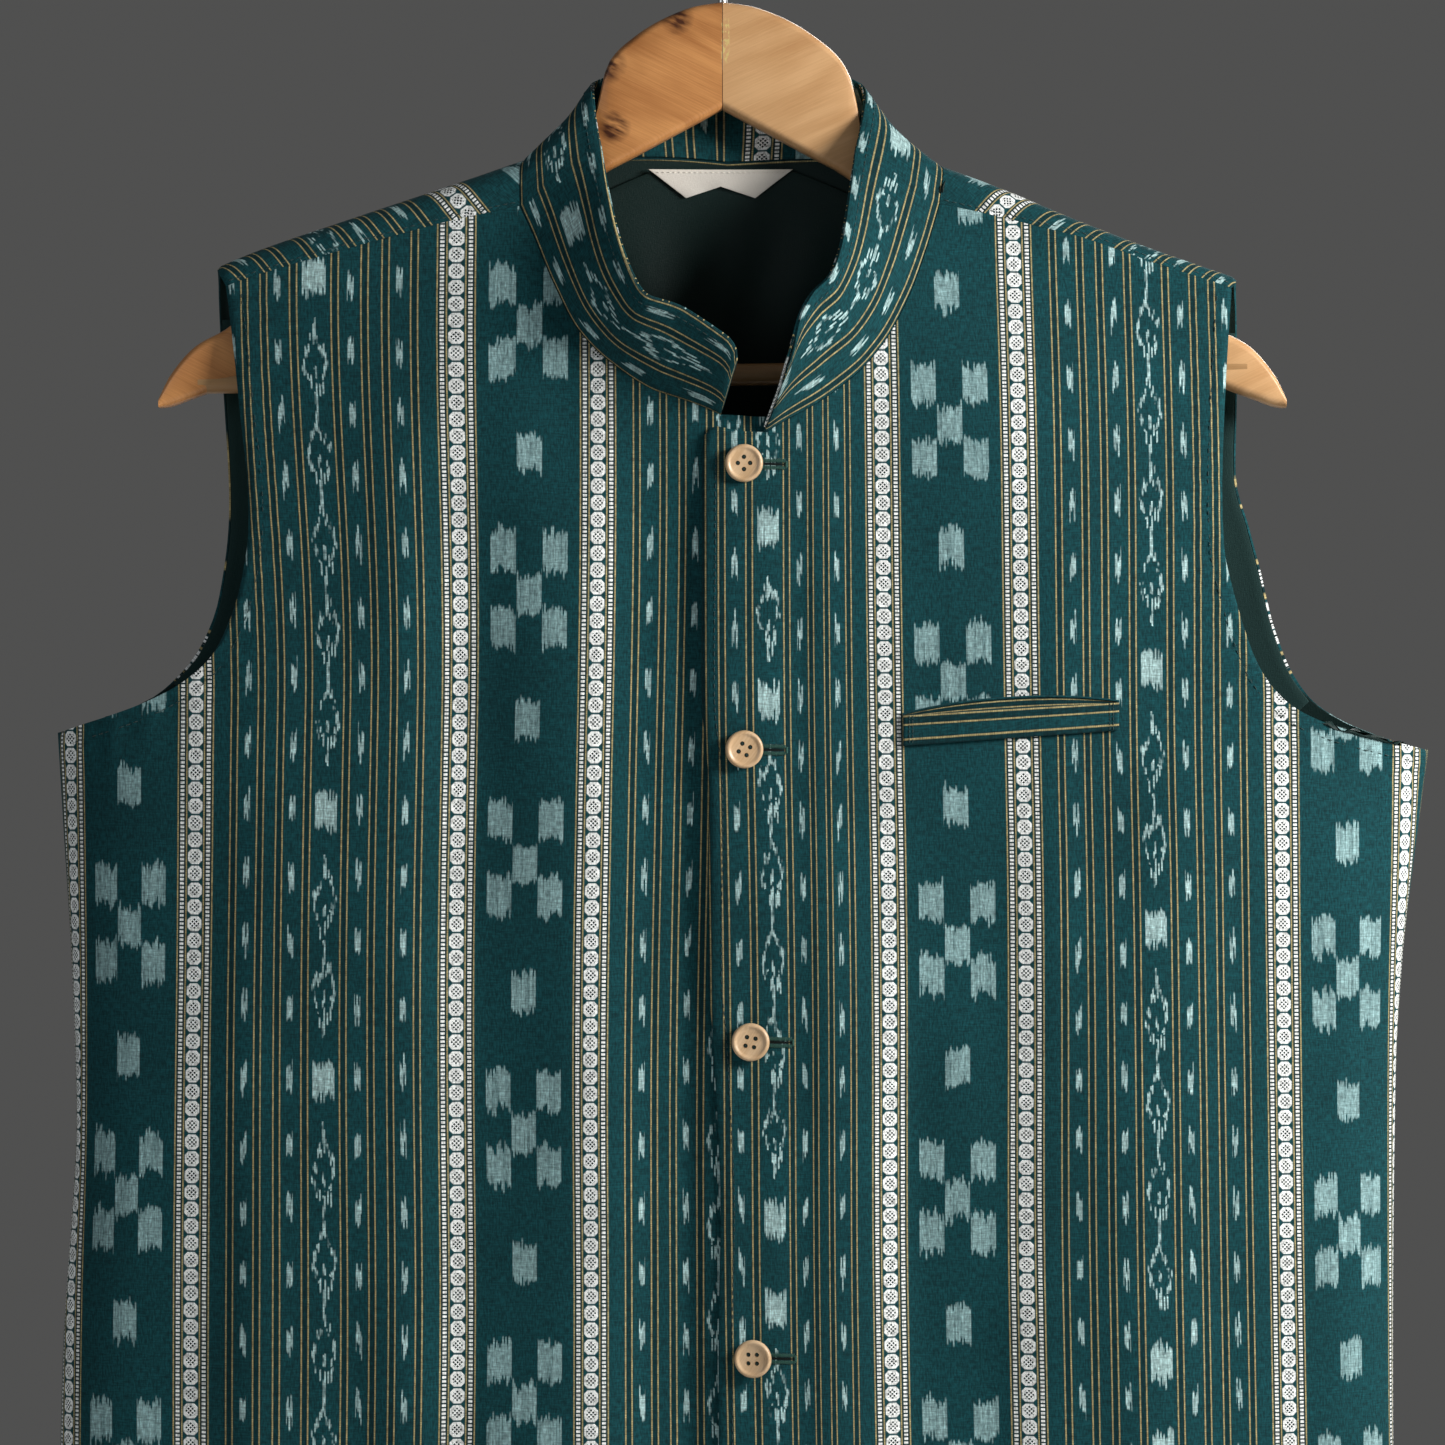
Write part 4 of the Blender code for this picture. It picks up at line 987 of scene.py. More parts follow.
def buildBack():
    shape = backShape
    leftSeam = wrapped(leftShoulderSeam, front)
    rightSeam = wrapped(rightShoulderSeam, front)
    leftLine = sidePoints(1, leftSide, leftBackArmhole[-1][1])
    rightLine = sidePoints(-1, rightSide, rightBackArmhole[-1][1])
    top = joined([pathThrough(rightSeam[::-1]), pathThrough(backNeck[::-1]), pathThrough(leftSeam)],
                 [shape["shoulderShare"], 1 - shape["shoulderShare"]])
    armholeEnd = shape["armholeShare"] ** shape["topBunch"]

    # Over the shoulder at one x, then down the armhole and the side seam
    def sideEdge(seam, crossX, armhole, line):
        hole = [seam[-1], (crossX, 0.0)] + wrapped(armhole[1:], back)
        return joined([pathThrough(hole), pathThrough(wrapped(line, back))], [armholeEnd])

    rightCross, leftCross = shape["crossings"]
    right = sideEdge(rightSeam, rightCross, rightBackArmhole, rightLine)
    left = sideEdge(leftSeam, leftCross, leftBackArmhole, leftLine)
    hem = pathThrough(hemPoints(rightLine[-1][0], leftLine[-1][0], body["hemSide"], back))

    def ease(share):
        centred = 2 * share - 1
        return (1 + (1 - (1 - abs(centred)) ** shape["sideBunch"]) * (1 if centred > 0 else -1)) / 2

    stretched = patch(top, lambda share: hem(ease(share)), right, left, ease)
    flat = evened(lambda s, t: stretched(s, t ** shape["topBunch"]), shape)

    def place(s, t):
        spot = flat(s, t)
        if s in (0, 1) and t > shape["armholeShare"] - 0.001:
            return Vector((spot.x, 0.0001, wrappedZ(spot.x, spot.y)))
        return wallPoint(spot.x, spot.y, sinkAt(s, t))

    def grainHere(s, t):
        spot = flat(s, t)
        return backGrain(spot.x, spot.y)

    made = gridSheet(shape["columns"], shape["rows"], place, grainHere, toBack)
    piece = finishPiece("backCloth", made, ["back", "lining"], ["back"])
    giveWall(piece, shape["wall"], 1)
    return piece


backPiece = buildBack()
print("back ready")


# Collar

collarShape = {
    "columns": 182,
    "rows": 14,
    "wall": 0.0012,
    "innerWall": 0.001,
    "innerDepth": 0.0018,
    "foot": -0.0006,        # how far above the neck seam each layer starts
    "innerFoot": 0.001,
    "endShare": 7 / 26,
    "corner": 0.009,
    "height": 0.038,
    "roll": 0.0015,
    "middleY": 0.006,
    "slack": 0.0009,
    "length": 0.455,
    "edgeSink": 0.0005,
    "innerEdgeSink": 0.0002,
    "grainMiddle": 0.615,   # share of the height at which the figured stripe's middle lies
    "grainSlant": 0.12,
    "grainHeight": 0.036,
    "grainStart": 0.004,
    "innerStart": (0.267, 0.03),
    "feeler": 0.004,
}


def collarSurface(startGap):
    shape = collarShape
    tops = []
    for x, z, side, topX, topZ, lean in neckRows:
        tops.append(Vector((topX, bodyPoint(x, z, side).y + lean, topZ)))
    splits = [shape["endShare"], 1 - shape["endShare"]]
    seam = joined([pathThrough(leftNeck), pathThrough(backNeck), pathThrough(rightNeck)], splits)
    edge = joined([pathThrough(tops[:neckEnds[0] + 1]), pathThrough(tops[neckEnds[0]:neckEnds[1] + 1]),
                   pathThrough(tops[neckEnds[1]:])], splits)

    def foot(around):
        flat = seam(around)
        point = wrappedPoint(flat.x, flat.y)
        if flat.y > 0 and flat.x > 0:
            point.y -= leftLift(flat.x)
        return point

    ends = [foot(0.0), foot(1.0)]

    def spot(around, up):
        low = foot(around)
        toEnd = min((low - end).length for end in ends)
        reach = 1.0
        if toEnd < shape["corner"]:
            inside = 1 - toEnd / shape["corner"]
            reach = 1 - shape["corner"] / shape["height"] * (1 - sqrt(max(1 - inside ** 2, 0.0)))
        start = startGap / shape["height"]
        share = start + (reach - start) * up
        outward = Vector((low.x, low.y - shape["middleY"], 0.0)).normalized()
        slack = noise.noise(Vector((around * 16, up * 1.6, 3.0))) * shape["slack"] * sin(pi * share)
        return low.lerp(edge(around), share) + outward * (shape["roll"] * sin(pi * share) + slack)

    def place(around, up, depth):
        step = shape["feeler"]
        across = spot(min(around + step, 1.0), 0.5) - spot(max(around - step, 0.0), 0.5)
        upward = spot(around, 1.0) - spot(around, 0.0)
        return spot(around, up) - across.cross(upward).normalized() * depth
    return place


collarOuter = collarSurface(collarShape["foot"])
collarInner = collarSurface(collarShape["innerFoot"])


def buildCollar():
    shape = collarShape

    def outerPlace(s, t):
        return collarOuter(s, 1 - t, shape["edgeSink"] if t in (0, 1) or s in (0, 1) else 0.0)

    def outerGrain(s, t):
        share = 1 - t - shape["grainMiddle"] + shape["grainSlant"] * s
        return share * shape["grainHeight"], s * shape["length"] + shape["grainStart"]

    def innerPlace(s, t):
        return collarInner(s, 1 - t, shape["innerDepth"] - (0.0 if 0 < t < 1 else shape["innerEdgeSink"]))

    def innerGrain(s, t):
        across, along = shape["innerStart"]
        return across - s * shape["length"], t * shape["height"] + along

    def outward(spot):
        return spot - Vector((0.0, -0.01, -0.17))

    made = gridSheet(shape["columns"], shape["rows"], outerPlace, outerGrain, outward)
    piece = finishPiece("collarCloth", made, ["leftFront"], ["collar"])
    giveWall(piece, shape["wall"])
    made = gridSheet(shape["columns"], shape["rows"] - 4, innerPlace, innerGrain, outward)
    piece = finishPiece("collarInnerCloth", made, ["leftFront"], ["collar_inner"])
    giveWall(piece, shape["innerWall"])


buildCollar()
print("collar ready")


# Facings, lining and label

facingShape = {
    "width": 0.026,
    "gap": 0.001,
    "start": 0.1,       # where the strip starts and how long it is, as shares of the armhole
    "length": 0.68,
    "wall": 0.0009,
    "depth": 0.0021,
    "ripple": 0.0005,
}


def buildFacing(name, node, armhole, side, sign):
    shape = facingShape
    path = pathThrough(armhole)

    def place(s, t):
        share = shape["start"] + shape["length"] * s
        run = (path(share + 0.02) - path(share - 0.02)).normalized()
        at = path(share) + Vector((run.y, -run.x)) * sign * (shape["gap"] + shape["width"] * t)
        ripple = noise.noise(Vector((s * 9, t * 2, side * 3.0))) * shape["ripple"] * t
        return onBody(at.x, at.y, side, shape["depth"] + max(ripple, 0.0))

    ahead = toFront if side == front else toBack
    made = gridSheet(90, 8, place, lambda s, t: (t * shape["width"], s * 0.2), ahead)
    piece = finishPiece(name, made, ["facing"], [node])
    giveWall(piece, shape["wall"], 0, 0.0003)


buildFacing("leftFrontFacing", "facing_front_left", leftFrontArmhole, front, 1)
buildFacing("rightFrontFacing", "facing_front_right", rightFrontArmhole, front, -1)
buildFacing("leftBackFacing", "facing_back_left", leftBackArmhole, back, 1)
buildFacing("rightBackFacing", "facing_back_right", rightBackArmhole, back, -1)

neckSeamZ = smoothCurve([row[:2] for row in neckRows[neckEnds[0] + 2:neckEnds[1] - 1]])
yokeShape = {
    "halfWidth": 0.16,
    "bottom": -0.365,
    "topDrop": 0.026,
    "neckHalf": 0.079,      # within this the top follows the neck seam, a gap below it
    "neckGap": 0.0012,
    "hemRise": 0.012,
    "unevenness": 0.0022,
    "wall": 0.0009,
    "depth": 0.0021,
    "folds": [(0.0042, 0.03, 0.25, 0.014), (0.0038, -0.034, -0.15, 0.015), (0.003, -0.004, 0.35, 0.01)],
}


def buildYoke():
    shape = yokeShape

    def place(s, t):
        x = shape["halfWidth"] * (2 * s - 1)
        top = shoulderZ(x) - shape["topDrop"]
        if abs(x) <= shape["neckHalf"]:
            top = min(neckSeamZ(x) - shape["neckGap"], top)
        bottom = shape["bottom"] + shape["hemRise"] * (2 * s - 1) ** 2
        z = top + (bottom - top) * t
        sag = shape["unevenness"] * (noise.noise(Vector((x * 30, z * 14, 1.0))) + 0.4)
        for depth, centre, slant, width in shape["folds"]:
            sag += depth * bump(x, centre + slant * (z + 0.2), width)
        return onBody(x, z, back, shape["depth"] + max(sag, 0.0) * smoothStep(0.0, 0.25, t))

    made = gridSheet(90, 60, place, lambda s, t: (s * 0.32, t * 0.22), toBack)
    piece = finishPiece("yokeLining", made, ["lining"], ["lining_yoke"])
    giveWall(piece, shape["wall"], 0, 0.0003)


labelShape = {
    "half": 0.0298,
    "centre": -0.0008,
    "top": -0.1392,
    "height": 0.0114,
    "taper": 0.52,
    "notch": 0.0046,
    "curl": 0.0005,
    "depth": 0.0036,
    "wall": 0.0006,
}


def buildLabel():
    shape = labelShape

    def place(s, t):
        centred = 2 * s - 1
        x = shape["centre"] + shape["half"] * centred * (1 - shape["taper"] * t)
        tail = shape["height"] - shape["notch"] * (1 - abs(centred))
        curl = shape["curl"] * t * t * (0.5 + 0.5 * sin(7 * centred + 1))
        return onBody(x, shape["top"] - tail * t, back, shape["depth"] + curl)

    made = gridSheet(48, 12, place, lambda s, t: (s * 0.06, t * 0.011), toBack)
    piece = finishPiece("neckLabel", made, ["label"], ["label"])
    giveWall(piece, shape["wall"], 0, 0.0002)


buildYoke()
buildLabel()
print("inside ready")


# Welt pocket

weltShape = {
    "inner": (0.0721, -0.3628),
    "outer": (0.1587, -0.3576),
    "innerHeight": 0.0125,
    "outerHeight": 0.0115,
    "wall": 0.0016,
    "gape": 0.0014,
    "lipRise": 0.004,       # how far above the welt the pocket's upper edge lies
    "lipRoll": 0.0012,
    "length": 0.087,
    "standOff": 0.0005,
    "edgeSink": 0.0004,
    "mouthDrop": 0.001,     # how far the mouth reaches down behind the welt
    "mouthLift": 0.0003,
}


def onLeftFront(x, z, lift):
    point = onBody(x, z, front, -lift)
    point.y -= leftLift(x)
    return point


def buildWelt():
    shape = weltShape
    inner = Vector(shape["inner"])
    outer = Vector(shape["outer"])

    def weltPlace(s, t):
        top = inner.lerp(outer, s)
        height = shape["innerHeight"] + (shape["outerHeight"] - shape["innerHeight"]) * s
        gape = shape["gape"] * sin(pi * s) * (1 - t)
        edge = shape["edgeSink"] if t in (0, 1) or s in (0, 1) else 0.0
        return onLeftFront(top.x, top.y - height * t, shape["standOff"] + gape + shape["wall"] - edge)

    weltGrain = smoothCurve([(0.0, 0.028), (0.004, 0.025), (0.0098, 0.0199), (0.0125, 0.0186)])
    made = gridSheet(90, 12, weltPlace, lambda s, t: (weltGrain(0.0125 * t), s * shape["length"]), toFront)
    piece = finishPiece("pocketWelt", made, ["leftFront"], ["welt"])
    giveWall(piece, 0.0014)

    def lipRise(s):
        return shape["lipRise"] * (1 - abs(2 * s - 1) ** 2.2)

    def mouthPlace(s, t):
        top = inner.lerp(outer, s)
        rise = (lipRise(s) + shape["mouthDrop"]) * (1 - t)
        return onLeftFront(top.x, top.y - shape["mouthDrop"] + rise, shape["mouthLift"])

    made = gridSheet(60, 8, mouthPlace, lambda s, t: (0.0054 + t * 0.0052, s * shape["length"]), toFront)
    piece = finishPiece("pocketMouth", made, ["leftFront"])
    giveWall(piece, 0.0006, 0, 0.0001)

    def lipPlace(s, t):
        top = inner.lerp(outer, s)
        turn = pi * (t - 0.5)
        rise = lipRise(s) + 0.0005 * sin(turn) + 0.0003
        return onLeftFront(top.x, top.y + rise, 0.0002 + shape["lipRoll"] * cos(turn))

    made = gridSheet(60, 6, lipPlace, lambda s, t: (0.0225 + 0.001 * t, s * shape["length"]), toFront)
    finishPiece("pocketLip", made, ["leftFront"])


buildWelt()
print("welt ready")


# Stitches

stitch = {"length": 0.0024, "pitch": 0.0032, "half": 0.00023, "inset": 0.006, "lift": 0.0001}


# A small ball stretched along three ways, at a spot
def addBead(shape, spot, *ways):
    turn = Matrix(ways).transposed().to_4x4()
    bmesh.ops.create_icosphere(shape, subdivisions=1, radius=1.0, matrix=Matrix.Translation(spot) @ turn)


# Lays small rounded stitches along a fine row of points
def sewAlong(shape, points, normals, pitch=stitch["pitch"], length=stitch["length"],
             half=stitch["half"]):
    sewn = 0.0
    nextAt = pitch * 0.5
    for i in range(1, len(points)):
        step = points[i] - points[i - 1]
        reach = step.length
        while reach > 0 and sewn + reach >= nextAt:
            along = step.normalized()
            across = normals[i].cross(along).normalized()
            normal = along.cross(across)
            spot = points[i - 1] + step * ((nextAt - sewn) / reach)
            addBead(shape, spot, along * length / 2, across * half, normal * half * 0.8)
            nextAt += pitch
        sewn += reach


# Points and normals a little inside an edge that is given in x and z
def seamRow(flatPath, side, start, end, inset, sign, overlap=None):
    points = []
    normals = []
    steps = 160
    for i in range(steps + 1):
        share = start + (end - start) * i / steps
        run = (flatPath(min(share + 0.01, 1.0)) - flatPath(max(share - 0.01, 0.0))).normalized()
        at = flatPath(share) + Vector((run.y, -run.x)) * sign * inset
        surface = onBody(at.x, at.y, side, -stitch["lift"])
        over = onBody(at.x, at.y, side, -stitch["lift"] - 0.001)
        if overlap:
            surface.y -= overlap(at.x)
            over.y -= overlap(at.x)
        points.append(surface)
        normals.append((over - surface).normalized())
    return points, normals


def buildStitches():
    shape = bmesh.new()
    for path, side, sign in ((leftFrontArmhole, front, 1), (rightFrontArmhole, front, -1),
                             (leftBackArmhole, back, 1), (rightBackArmhole, back, -1)):
        sewAlong(shape, *seamRow(pathThrough(path), side, 0.02, 0.97, stitch["inset"], sign))
    sewAlong(shape, *seamRow(pathThrough(leftFrontEdge), front, 0.02, 1.0, 0.0055, -1, leftLift))
    for path, sign in ((leftShoulderSeam, -1), (rightShoulderSeam, 1)):
        sewAlong(shape, *seamRow(pathThrough(path), front, 0.01, 0.99, 0.0018, sign))
    points, over = [[collarOuter(0.012 + 0.976 * i / 400, 0.9, -lift) for i in range(401)]
                    for lift in (stitch["lift"], stitch["lift"] + 0.001)]
    sewAlong(shape, points, [(b - a).normalized() for a, b in zip(points, over)])
    ahead = [Vector((0, -1, 0))] * 61
    inner = Vector(weltShape["inner"])
    outer = Vector(weltShape["outer"])
    for share, sign in ((0.02, 1), (0.98, -1)):
        for offset in (0.0008, 0.0022):
            top = inner.lerp(outer, share)
            points = [onLeftFront(top.x + sign * offset, top.y - 0.0115 * i / 20, 0.0023) for i in range(21)]
            sewAlong(shape, points, ahead, 0.0019, 0.0016)
    finishPiece("topStitching", shape, ["thread"])

    shape = bmesh.new()
    points = [onBody(-0.0275 + 0.0535 * i / 60, labelShape["top"] - 0.0012, back, 0.0044) for i in range(61)]
    sewAlong(shape, points, ahead, 0.0022, 0.0017, 0.00018)
    finishPiece("labelStitching", shape, ["label"])


buildStitches()
print("stitching ready")


# Buttons: x, z, turn of the holes, tilt towards the side

buttons = [
    (0.0086, -0.2622, 0.0, 0.0), (0.0087, -0.3765, 20.0, 4.0), (0.0113, -0.4934, 35.0, -4.0),
    (0.0123, -0.62, 45.0, -12.0), (0.012, -0.74, 10.0, 0.0)]
buttonShape = {
    "radius": 0.0076,
    "half": 0.0015,
    "holeRing": 0.00245,
    "holeRadius": 0.0009,
    "gap": 0.0005,
    "threadLow": 0.0009,
    "threadRadii": (0.0007, 0.0006),
    "threadLength": 0.0026,
    "profile": [
        (0.0, -0.0015), (0.0058, -0.0015), (0.0071, -0.001), (0.0076, -0.0001), (0.0075, 0.0007),
        (0.0071, 0.0013), (0.0066, 0.0015), (0.0061, 0.0014), (0.0057, 0.001), (0.005, 0.0008),
        (0.003, 0.0007), (0.0, 0.00065)],
}


def buildButton(number, x, z, turn, tilt):
    shape = buttonShape
    tiltRoom = abs(sin(radians(tilt))) * shape["radius"] * 0.9
    seat = onLeftFront(x, z, shape["gap"] + shape["half"] + tiltRoom)
    setting = (Matrix.Translation(seat) @ Matrix.Rotation(radians(tilt), 4, "Z")
               @ Matrix.Rotation(radians(90), 4, "X"))
    disc = bmesh.new()
    verts = [disc.verts.new((radius, 0.0, height)) for radius, height in shape["profile"]]
    line = [disc.edges.new(pair) for pair in zip(verts, verts[1:])]
    bmesh.ops.spin(disc, geom=verts + line, cent=(0, 0, 0), axis=(0, 0, 1), angle=2 * pi, steps=64,
                   use_merge=True)
    bmesh.ops.remove_doubles(disc, verts=disc.verts, dist=1e-6)
    bmesh.ops.recalc_face_normals(disc, faces=disc.faces)
    holes = bmesh.new()
    threads = bmesh.new()
    for i in range(4):
        angle = radians(turn) + i * pi / 2
        spot = Matrix.Translation((shape["holeRing"] * cos(angle), shape["holeRing"] * sin(angle), 0.0))
        bmesh.ops.create_cone(holes, cap_ends=True, segments=20, radius1=shape["holeRadius"],
                              radius2=shape["holeRadius"], depth=0.01, matrix=spot)
        low = Matrix.Translation((0, 0, -shape["threadLow"]))
        bmesh.ops.create_cone(threads, cap_ends=True, segments=10, radius1=shape["threadRadii"][0],
                              radius2=shape["threadRadii"][1], depth=shape["threadLength"],
                              matrix=setting @ spot @ low)
    cutter = meshObject("holeCutter", holes)
    cut = meshObject("disc", disc)
    cutting = cut.modifiers.new("holes", "BOOLEAN")
    cutting.object = cutter
    cutting.operation = "DIFFERENCE"
    cutting.solver = "EXACT"
    ready = bmesh.new()
    ready.from_object(cut, bpy.context.evaluated_depsgraph_get())
    for used in (cut, cutter):
        bpy.data.objects.remove(used)
    ready.transform(setting)
    finishPiece("woodButton" + str(number), ready, ["buttonWood"],
                ["button_" + str(number)], 50)
    finishPiece("buttonThread" + str(number), threads, ["thread"])


holeShape = {
    "length": 0.015,
    "start": 0.0015,
    "half": 0.00045,
    "slope": 0.0004,
    "legs": 30,
    "legLength": 0.0019,
    "legHalf": (0.00026, 0.0003),
    "endBeads": (0.0006, 0.0004, 0.0007),
}


# A slit from under the button towards the side, bound with thread; its near-black sheet is painted shade for
# the shadow in the cut
def buildButtonhole(number, x, z):
    shape = holeShape
    binding = bmesh.new()
    start = x + shape["start"]
    legX, legY = shape["legHalf"]
    endX, endY, endZ = shape["endBeads"]

    def place(s, t):
        half = shape["half"] * (1 - abs(2 * s - 1) ** 6)
        low = z - shape["slope"] * s + half * (1 - 2 * t)
        return onLeftFront(start + shape["length"] * s, low, 0.00012)

    # Painted shade: a near-black sheet laid just over the cloth stands for the shadow inside the slit
    paintedSlitShade = gridSheet(24, 2, place, lambda s, t: (s, t), toFront)
    finishPiece("holeSlitShade" + str(number), paintedSlitShade, ["dark"])
    for i in range(shape["legs"]):
        share = (i + 0.5) / shape["legs"]
        for side in (1, -1):
            wobble = noise.noise(Vector((i * 1.7, side * 5.0, number * 3.0))) * 0.0005
            middle = side * (shape["half"] + shape["legLength"] / 2 + wobble * 0.5)
            spot = onLeftFront(start + shape["length"] * share, z - shape["slope"] * share + middle, 0.0002)
            leg = Vector((wobble * 0.8, 0, 1)).normalized() * (shape["legLength"] + wobble) / 2
            addBead(binding, spot, Vector((legX, 0, 0)), Vector((0, legY, 0)), leg)
    for side in (-1, 0, 1):
        spot = onLeftFront(start + shape["length"] + 0.0004, z - shape["slope"] + side * 0.0008, 0.0003)
        addBead(binding, spot, Vector((endX, 0, 0)), Vector((0, endY, 0)), Vector((0, 0, endZ)))
    finishPiece("holeBinding" + str(number), binding, ["holeThread"])


for number, (x, z, turn, tilt) in enumerate(buttons, start=1):
    buildButton(number, x, z, turn, tilt)
    buildButtonhole(number, x, z)
print("buttons ready")


# Hanger

hangerShape = {
    "thickness": 0.011,
    "rounding": 0.0038,
    "sweep": 0.001,
    "tip": 0.229,
    "stations": 110,
    "seat": 0.0041,         # how far the arms lie under the line of the shoulders
    "underCloth": 0.09,
    "joint": 0.00012,       # half the gap at the mitre
}
armOuterTop = [
    (0.07, -0.1405), (0.083, -0.1525), (0.096, -0.1535), (0.116, -0.1542), (0.13, -0.1582),
    (0.155, -0.1668), (0.17, -0.174), (0.185, -0.186), (0.1988, -0.2035), (0.2149, -0.2134),
    (0.225, -0.2255), (0.229, -0.2345)]
leftArmTop = smoothCurve([
    (0.0, -0.0728), (0.0128, -0.0748), (0.0259, -0.0798), (0.037, -0.0865), (0.047, -0.095),
    (0.0516, -0.1025), (0.0538, -0.11), (0.055, -0.1175), (0.0566, -0.1235), (0.061, -0.1297)] + armOuterTop)
rightArmTop = smoothCurve([
    (0.0, -0.0728), (0.0128, -0.075), (0.0259, -0.0805), (0.036, -0.087), (0.0452, -0.0957),
    (0.0488, -0.1045), (0.0506, -0.114), (0.0533, -0.1212), (0.06, -0.1285)] + armOuterTop)
armBottom = smoothCurve([
    (0.0, -0.1164), (0.012, -0.1229), (0.023, -0.1288), (0.035, -0.1353), (0.048, -0.1423),
    (0.06, -0.1515), (0.076, -0.166), (0.096, -0.174), (0.116, -0.18), (0.155, -0.199),
    (0.176, -0.214), (0.1982, -0.2272), (0.2183, -0.2352), (0.225, -0.2375), (0.229, -0.2378)])


# A rounded upright section of an arm at a distance from the middle
def armRing(sign, alongX):
    shape = hangerShape
    top = leftArmTop(alongX) if sign > 0 else rightArmTop(alongX)
    if alongX > shape["underCloth"]:
        top = min(top, shoulderZ(sign * alongX) - shape["seat"])
    bottom = armBottom(alongX)
    centreY = -shape["sweep"] * (alongX / shape["tip"]) ** 2
    rounding = min(shape["rounding"], (top - bottom) * 0.4)
    x = sign * max(alongX, shape["joint"])
    ring = []
    for z, ySign, start in ((top - rounding, -1, 90), (bottom + rounding, -1, 180),
                            (bottom + rounding, 1, 270), (top - rounding, 1, 0)):
        y = centreY + (shape["thickness"] / 2 - rounding) * ySign
        for angle in (radians(start + 15 * step) for step in range(7)):
            ring.append((x, y + rounding * cos(angle), z + rounding * sin(angle)))
    return ring


def loft(rings):
    made = bmesh.new()
    loops = []
    for ring in rings:
        verts = [made.verts.new(point) for point in ring]
        loops.append([made.edges.new((verts[i - 1], verts[i])) for i in range(len(verts))])
    for one, other in zip(loops, loops[1:]):
        bmesh.ops.bridge_loops(made, edges=one + other)
    for end in (loops[0], loops[-1]):
        bmesh.ops.contextual_create(made, geom=end)
    bmesh.ops.recalc_face_normals(made, faces=made.faces)
    return made


for name, node, sign, finish in (("hangerArmLeft", "hanger_arm_left", 1, "woodLeft"),
                                 ("hangerArmRight", "hanger_arm_right", -1, "woodRight")):
    count = hangerShape["stations"]
    stations = [hangerShape["tip"] * i / count for i in range(count)]
    stations += [hangerShape["tip"] - 0.001, hangerShape["tip"]]
    arm = loft([armRing(sign, station) for station in stations])
    finishPiece(name, arm, [finish], [node], 35)

barShape = {"radius": 0.0045, "end": 0.213, "height": -0.2245, "drop": 0.015, "y": -0.002}
hookShape = {
    "wire": 0.0019,
    "inner": 0.021,
    "tipShares": (0.45, 0.8, 0.96),         # the wire's end is rounded off
    "stem": (-0.064, -0.068, -0.072, -0.08, -0.088),
}


# Round rings square to a path, with a radius for each point
def ringsAlong(points, radii, segments):
    rings = []
    for i, point in enumerate(points):
        run = (points[min(i + 1, len(points) - 1)] - points[max(i - 1, 0)]).normalized()
        side = run.cross(Vector((0, 1, 0))).normalized()
        up = side.cross(run)
        turns = [2 * pi * k / segments for k in range(segments)]
        rings.append([point + (side * cos(turn) + up * sin(turn)) * radii[i] for turn in turns])
    return rings


# Round the bend from its tip, then back in and down the stem
def hookPath():
    bend = hookShape["inner"] + hookShape["wire"]
    route = []
    for i in range(73):
        angle = radians(195 - 255 * i / 72)
        route.append(Vector((bend * cos(angle), 0.0, bend * sin(angle) - hookShape["inner"])))
    turnX = route[-1].x + bend * 0.5
    turnZ = route[-1].z - bend * sin(radians(60))
    for i in range(1, 21):
        angle = radians(120 + 3 * i)
        route.append(Vector((turnX + bend * cos(angle), 0.0, turnZ + bend * sin(angle))))
    reached = route[-1].z - 0.001
    return route + [Vector((0.0, 0.0, z)) for z in hookShape["stem"] if z < reached]


barXs = [barShape["end"] * (i / 20 - 1) for i in range(41)]
barPoints = [Vector((x, barShape["y"], barShape["height"] + barShape["drop"] * x)) for x in barXs]
bar = loft(ringsAlong(barPoints, [barShape["radius"]] * len(barPoints), 28))
finishPiece("trouserBar", bar, ["woodBar"], ["trouser_bar"], 50)
route = hookPath()
shares = list(hookShape["tipShares"]) + [1.0] * (len(route) - len(hookShape["tipShares"]))
hook = loft(ringsAlong(route, [hookShape["wire"] * share for share in shares], 20))
finishPiece("hookWire", hook, ["metal"], ["hook"], 60)
print("hanger ready")


# Stage, light and camera

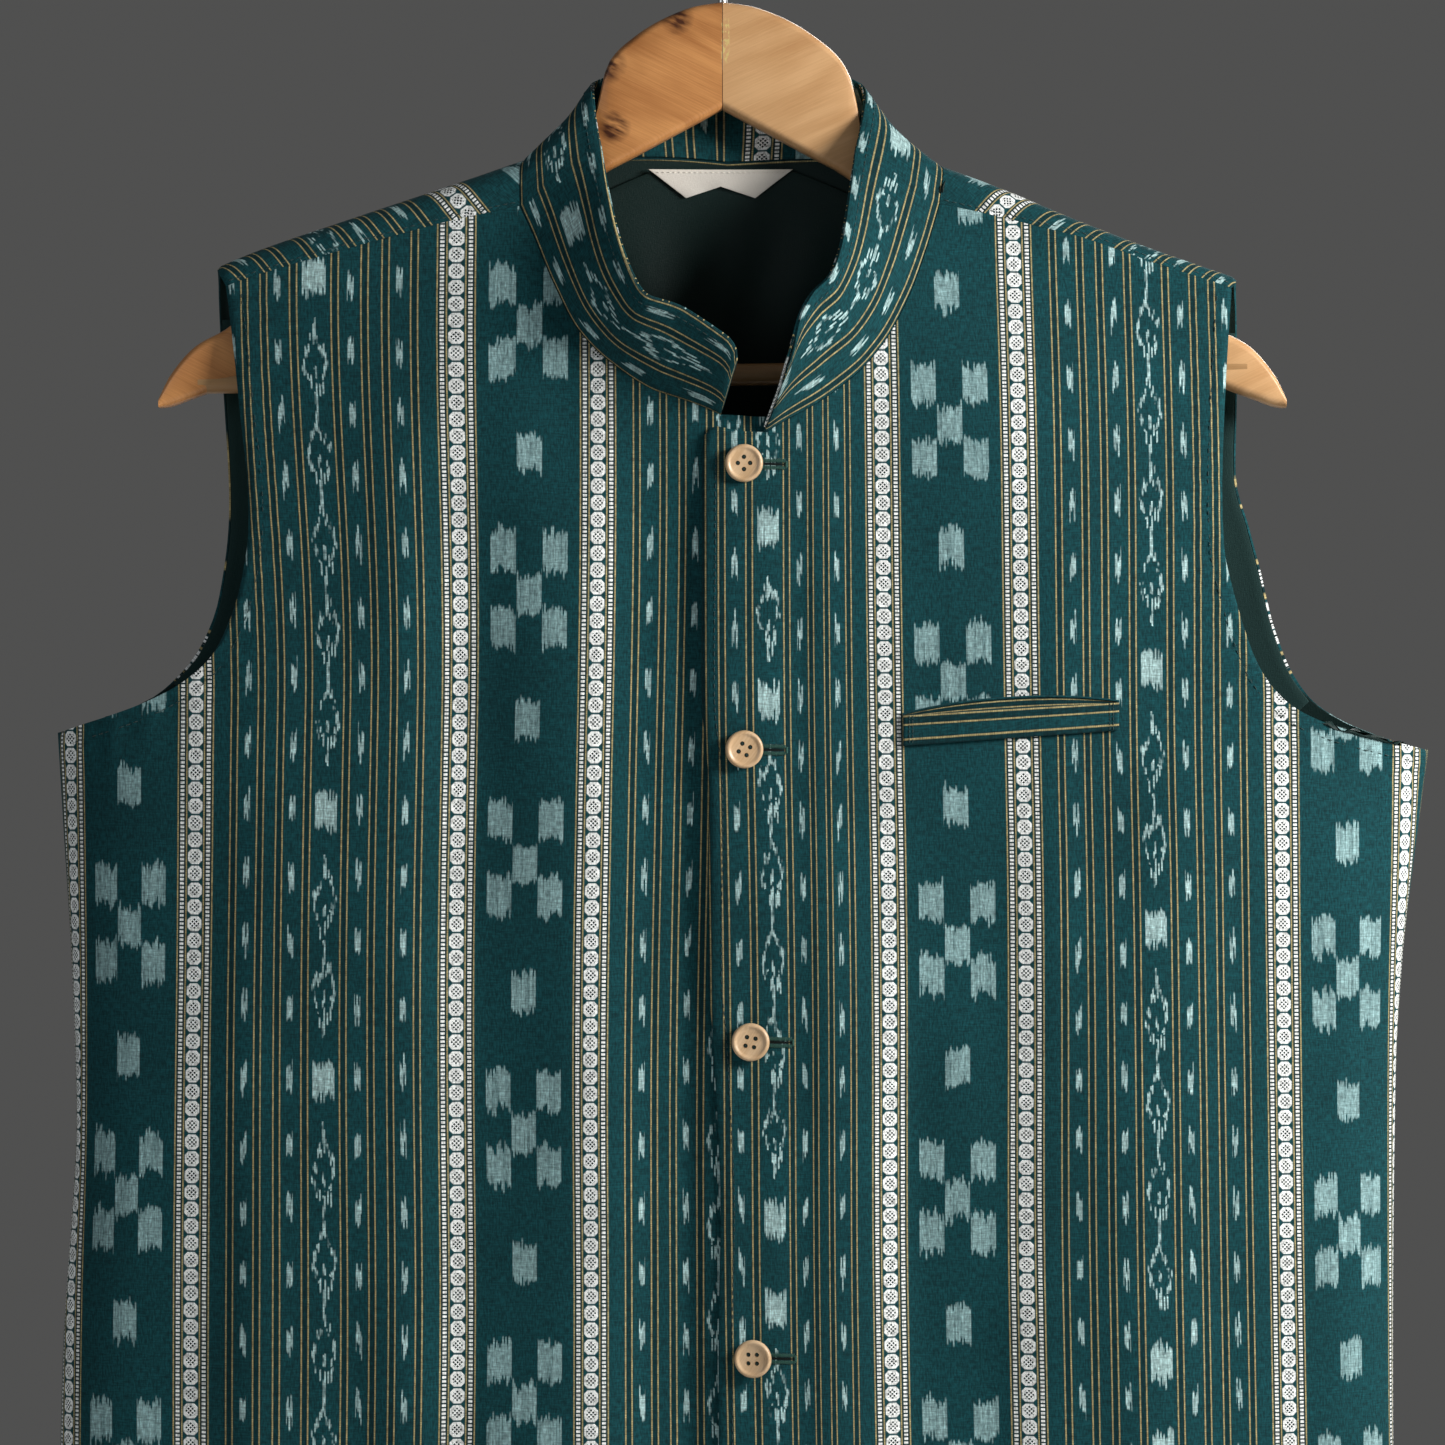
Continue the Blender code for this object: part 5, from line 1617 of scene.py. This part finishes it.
stageLook = {
    "floorZ": -1.02,
    "floorSize": 3.2,
    "floorColour": (0.72, 0.71, 0.69, 1.0),
    "worldColour": (0.8, 0.8, 0.79, 1.0),
    "world": 0.1,
    "lights": [     # name, place, aim, size, power, colour
        ("keyLight", (1.15, -0.64, 0.06), (0.0, 0.0, -0.42), 0.5, 23.0, (1.0, 0.97, 0.93)),
        ("fillLight", (-1.3, -1.3, 0.0), (0.0, 0.0, -0.4), 1.0, 4.0, (0.92, 0.96, 1.0)),
        ("rimLight", (0.6, 1.8, 0.6), (0.0, 0.0, -0.3), 1.2, 18.0, (1.0, 1.0, 1.0))],
    "camera": (0.0, -2.036, -0.3658),
    "lens": 124.6,
}

floorShape = bmesh.new()
bmesh.ops.create_grid(floorShape, x_segments=1, y_segments=1, size=stageLook["floorSize"] / 2,
                      matrix=Matrix.Translation((0, 0, stageLook["floorZ"])))
studioFloor = meshObject("studioFloor", floorShape)
floorPaint = newMaterial("floorPaint", {"Roughness": 0.7, "Base Color": stageLook["floorColour"]})[0]
studioFloor.data.materials.append(floorPaint)

for name, spot, aim, size, power, colour in stageLook["lights"]:
    light = bpy.data.lights.new(name, "AREA")
    light.shape = "DISK"
    light.size = size
    light.energy = power
    light.color = colour
    lamp = bpy.data.objects.new(name, light)
    lamp.location = spot
    lamp.rotation_euler = (Vector(aim) - Vector(spot)).to_track_quat("-Z", "Y").to_euler()
    lamp.visible_camera = False
    bpy.context.collection.objects.link(lamp)

world = bpy.data.worlds.new("studio")
world.use_nodes = True
world.node_tree.nodes["Background"].inputs[0].default_value = stageLook["worldColour"]
world.node_tree.nodes["Background"].inputs[1].default_value = stageLook["world"]
bpy.context.scene.world = world
bpy.context.scene.view_settings.view_transform = "Standard"

camera = bpy.data.cameras.new("photoCamera")
camera.lens = stageLook["lens"]
camera.sensor_width = 36.0
cameraObject = bpy.data.objects.new("photoCamera", camera)
cameraObject.location = stageLook["camera"]
cameraObject.rotation_euler = (radians(90), 0.0, 0.0)
bpy.context.collection.objects.link(cameraObject)
bpy.context.scene.camera = cameraObject
print("stage ready")
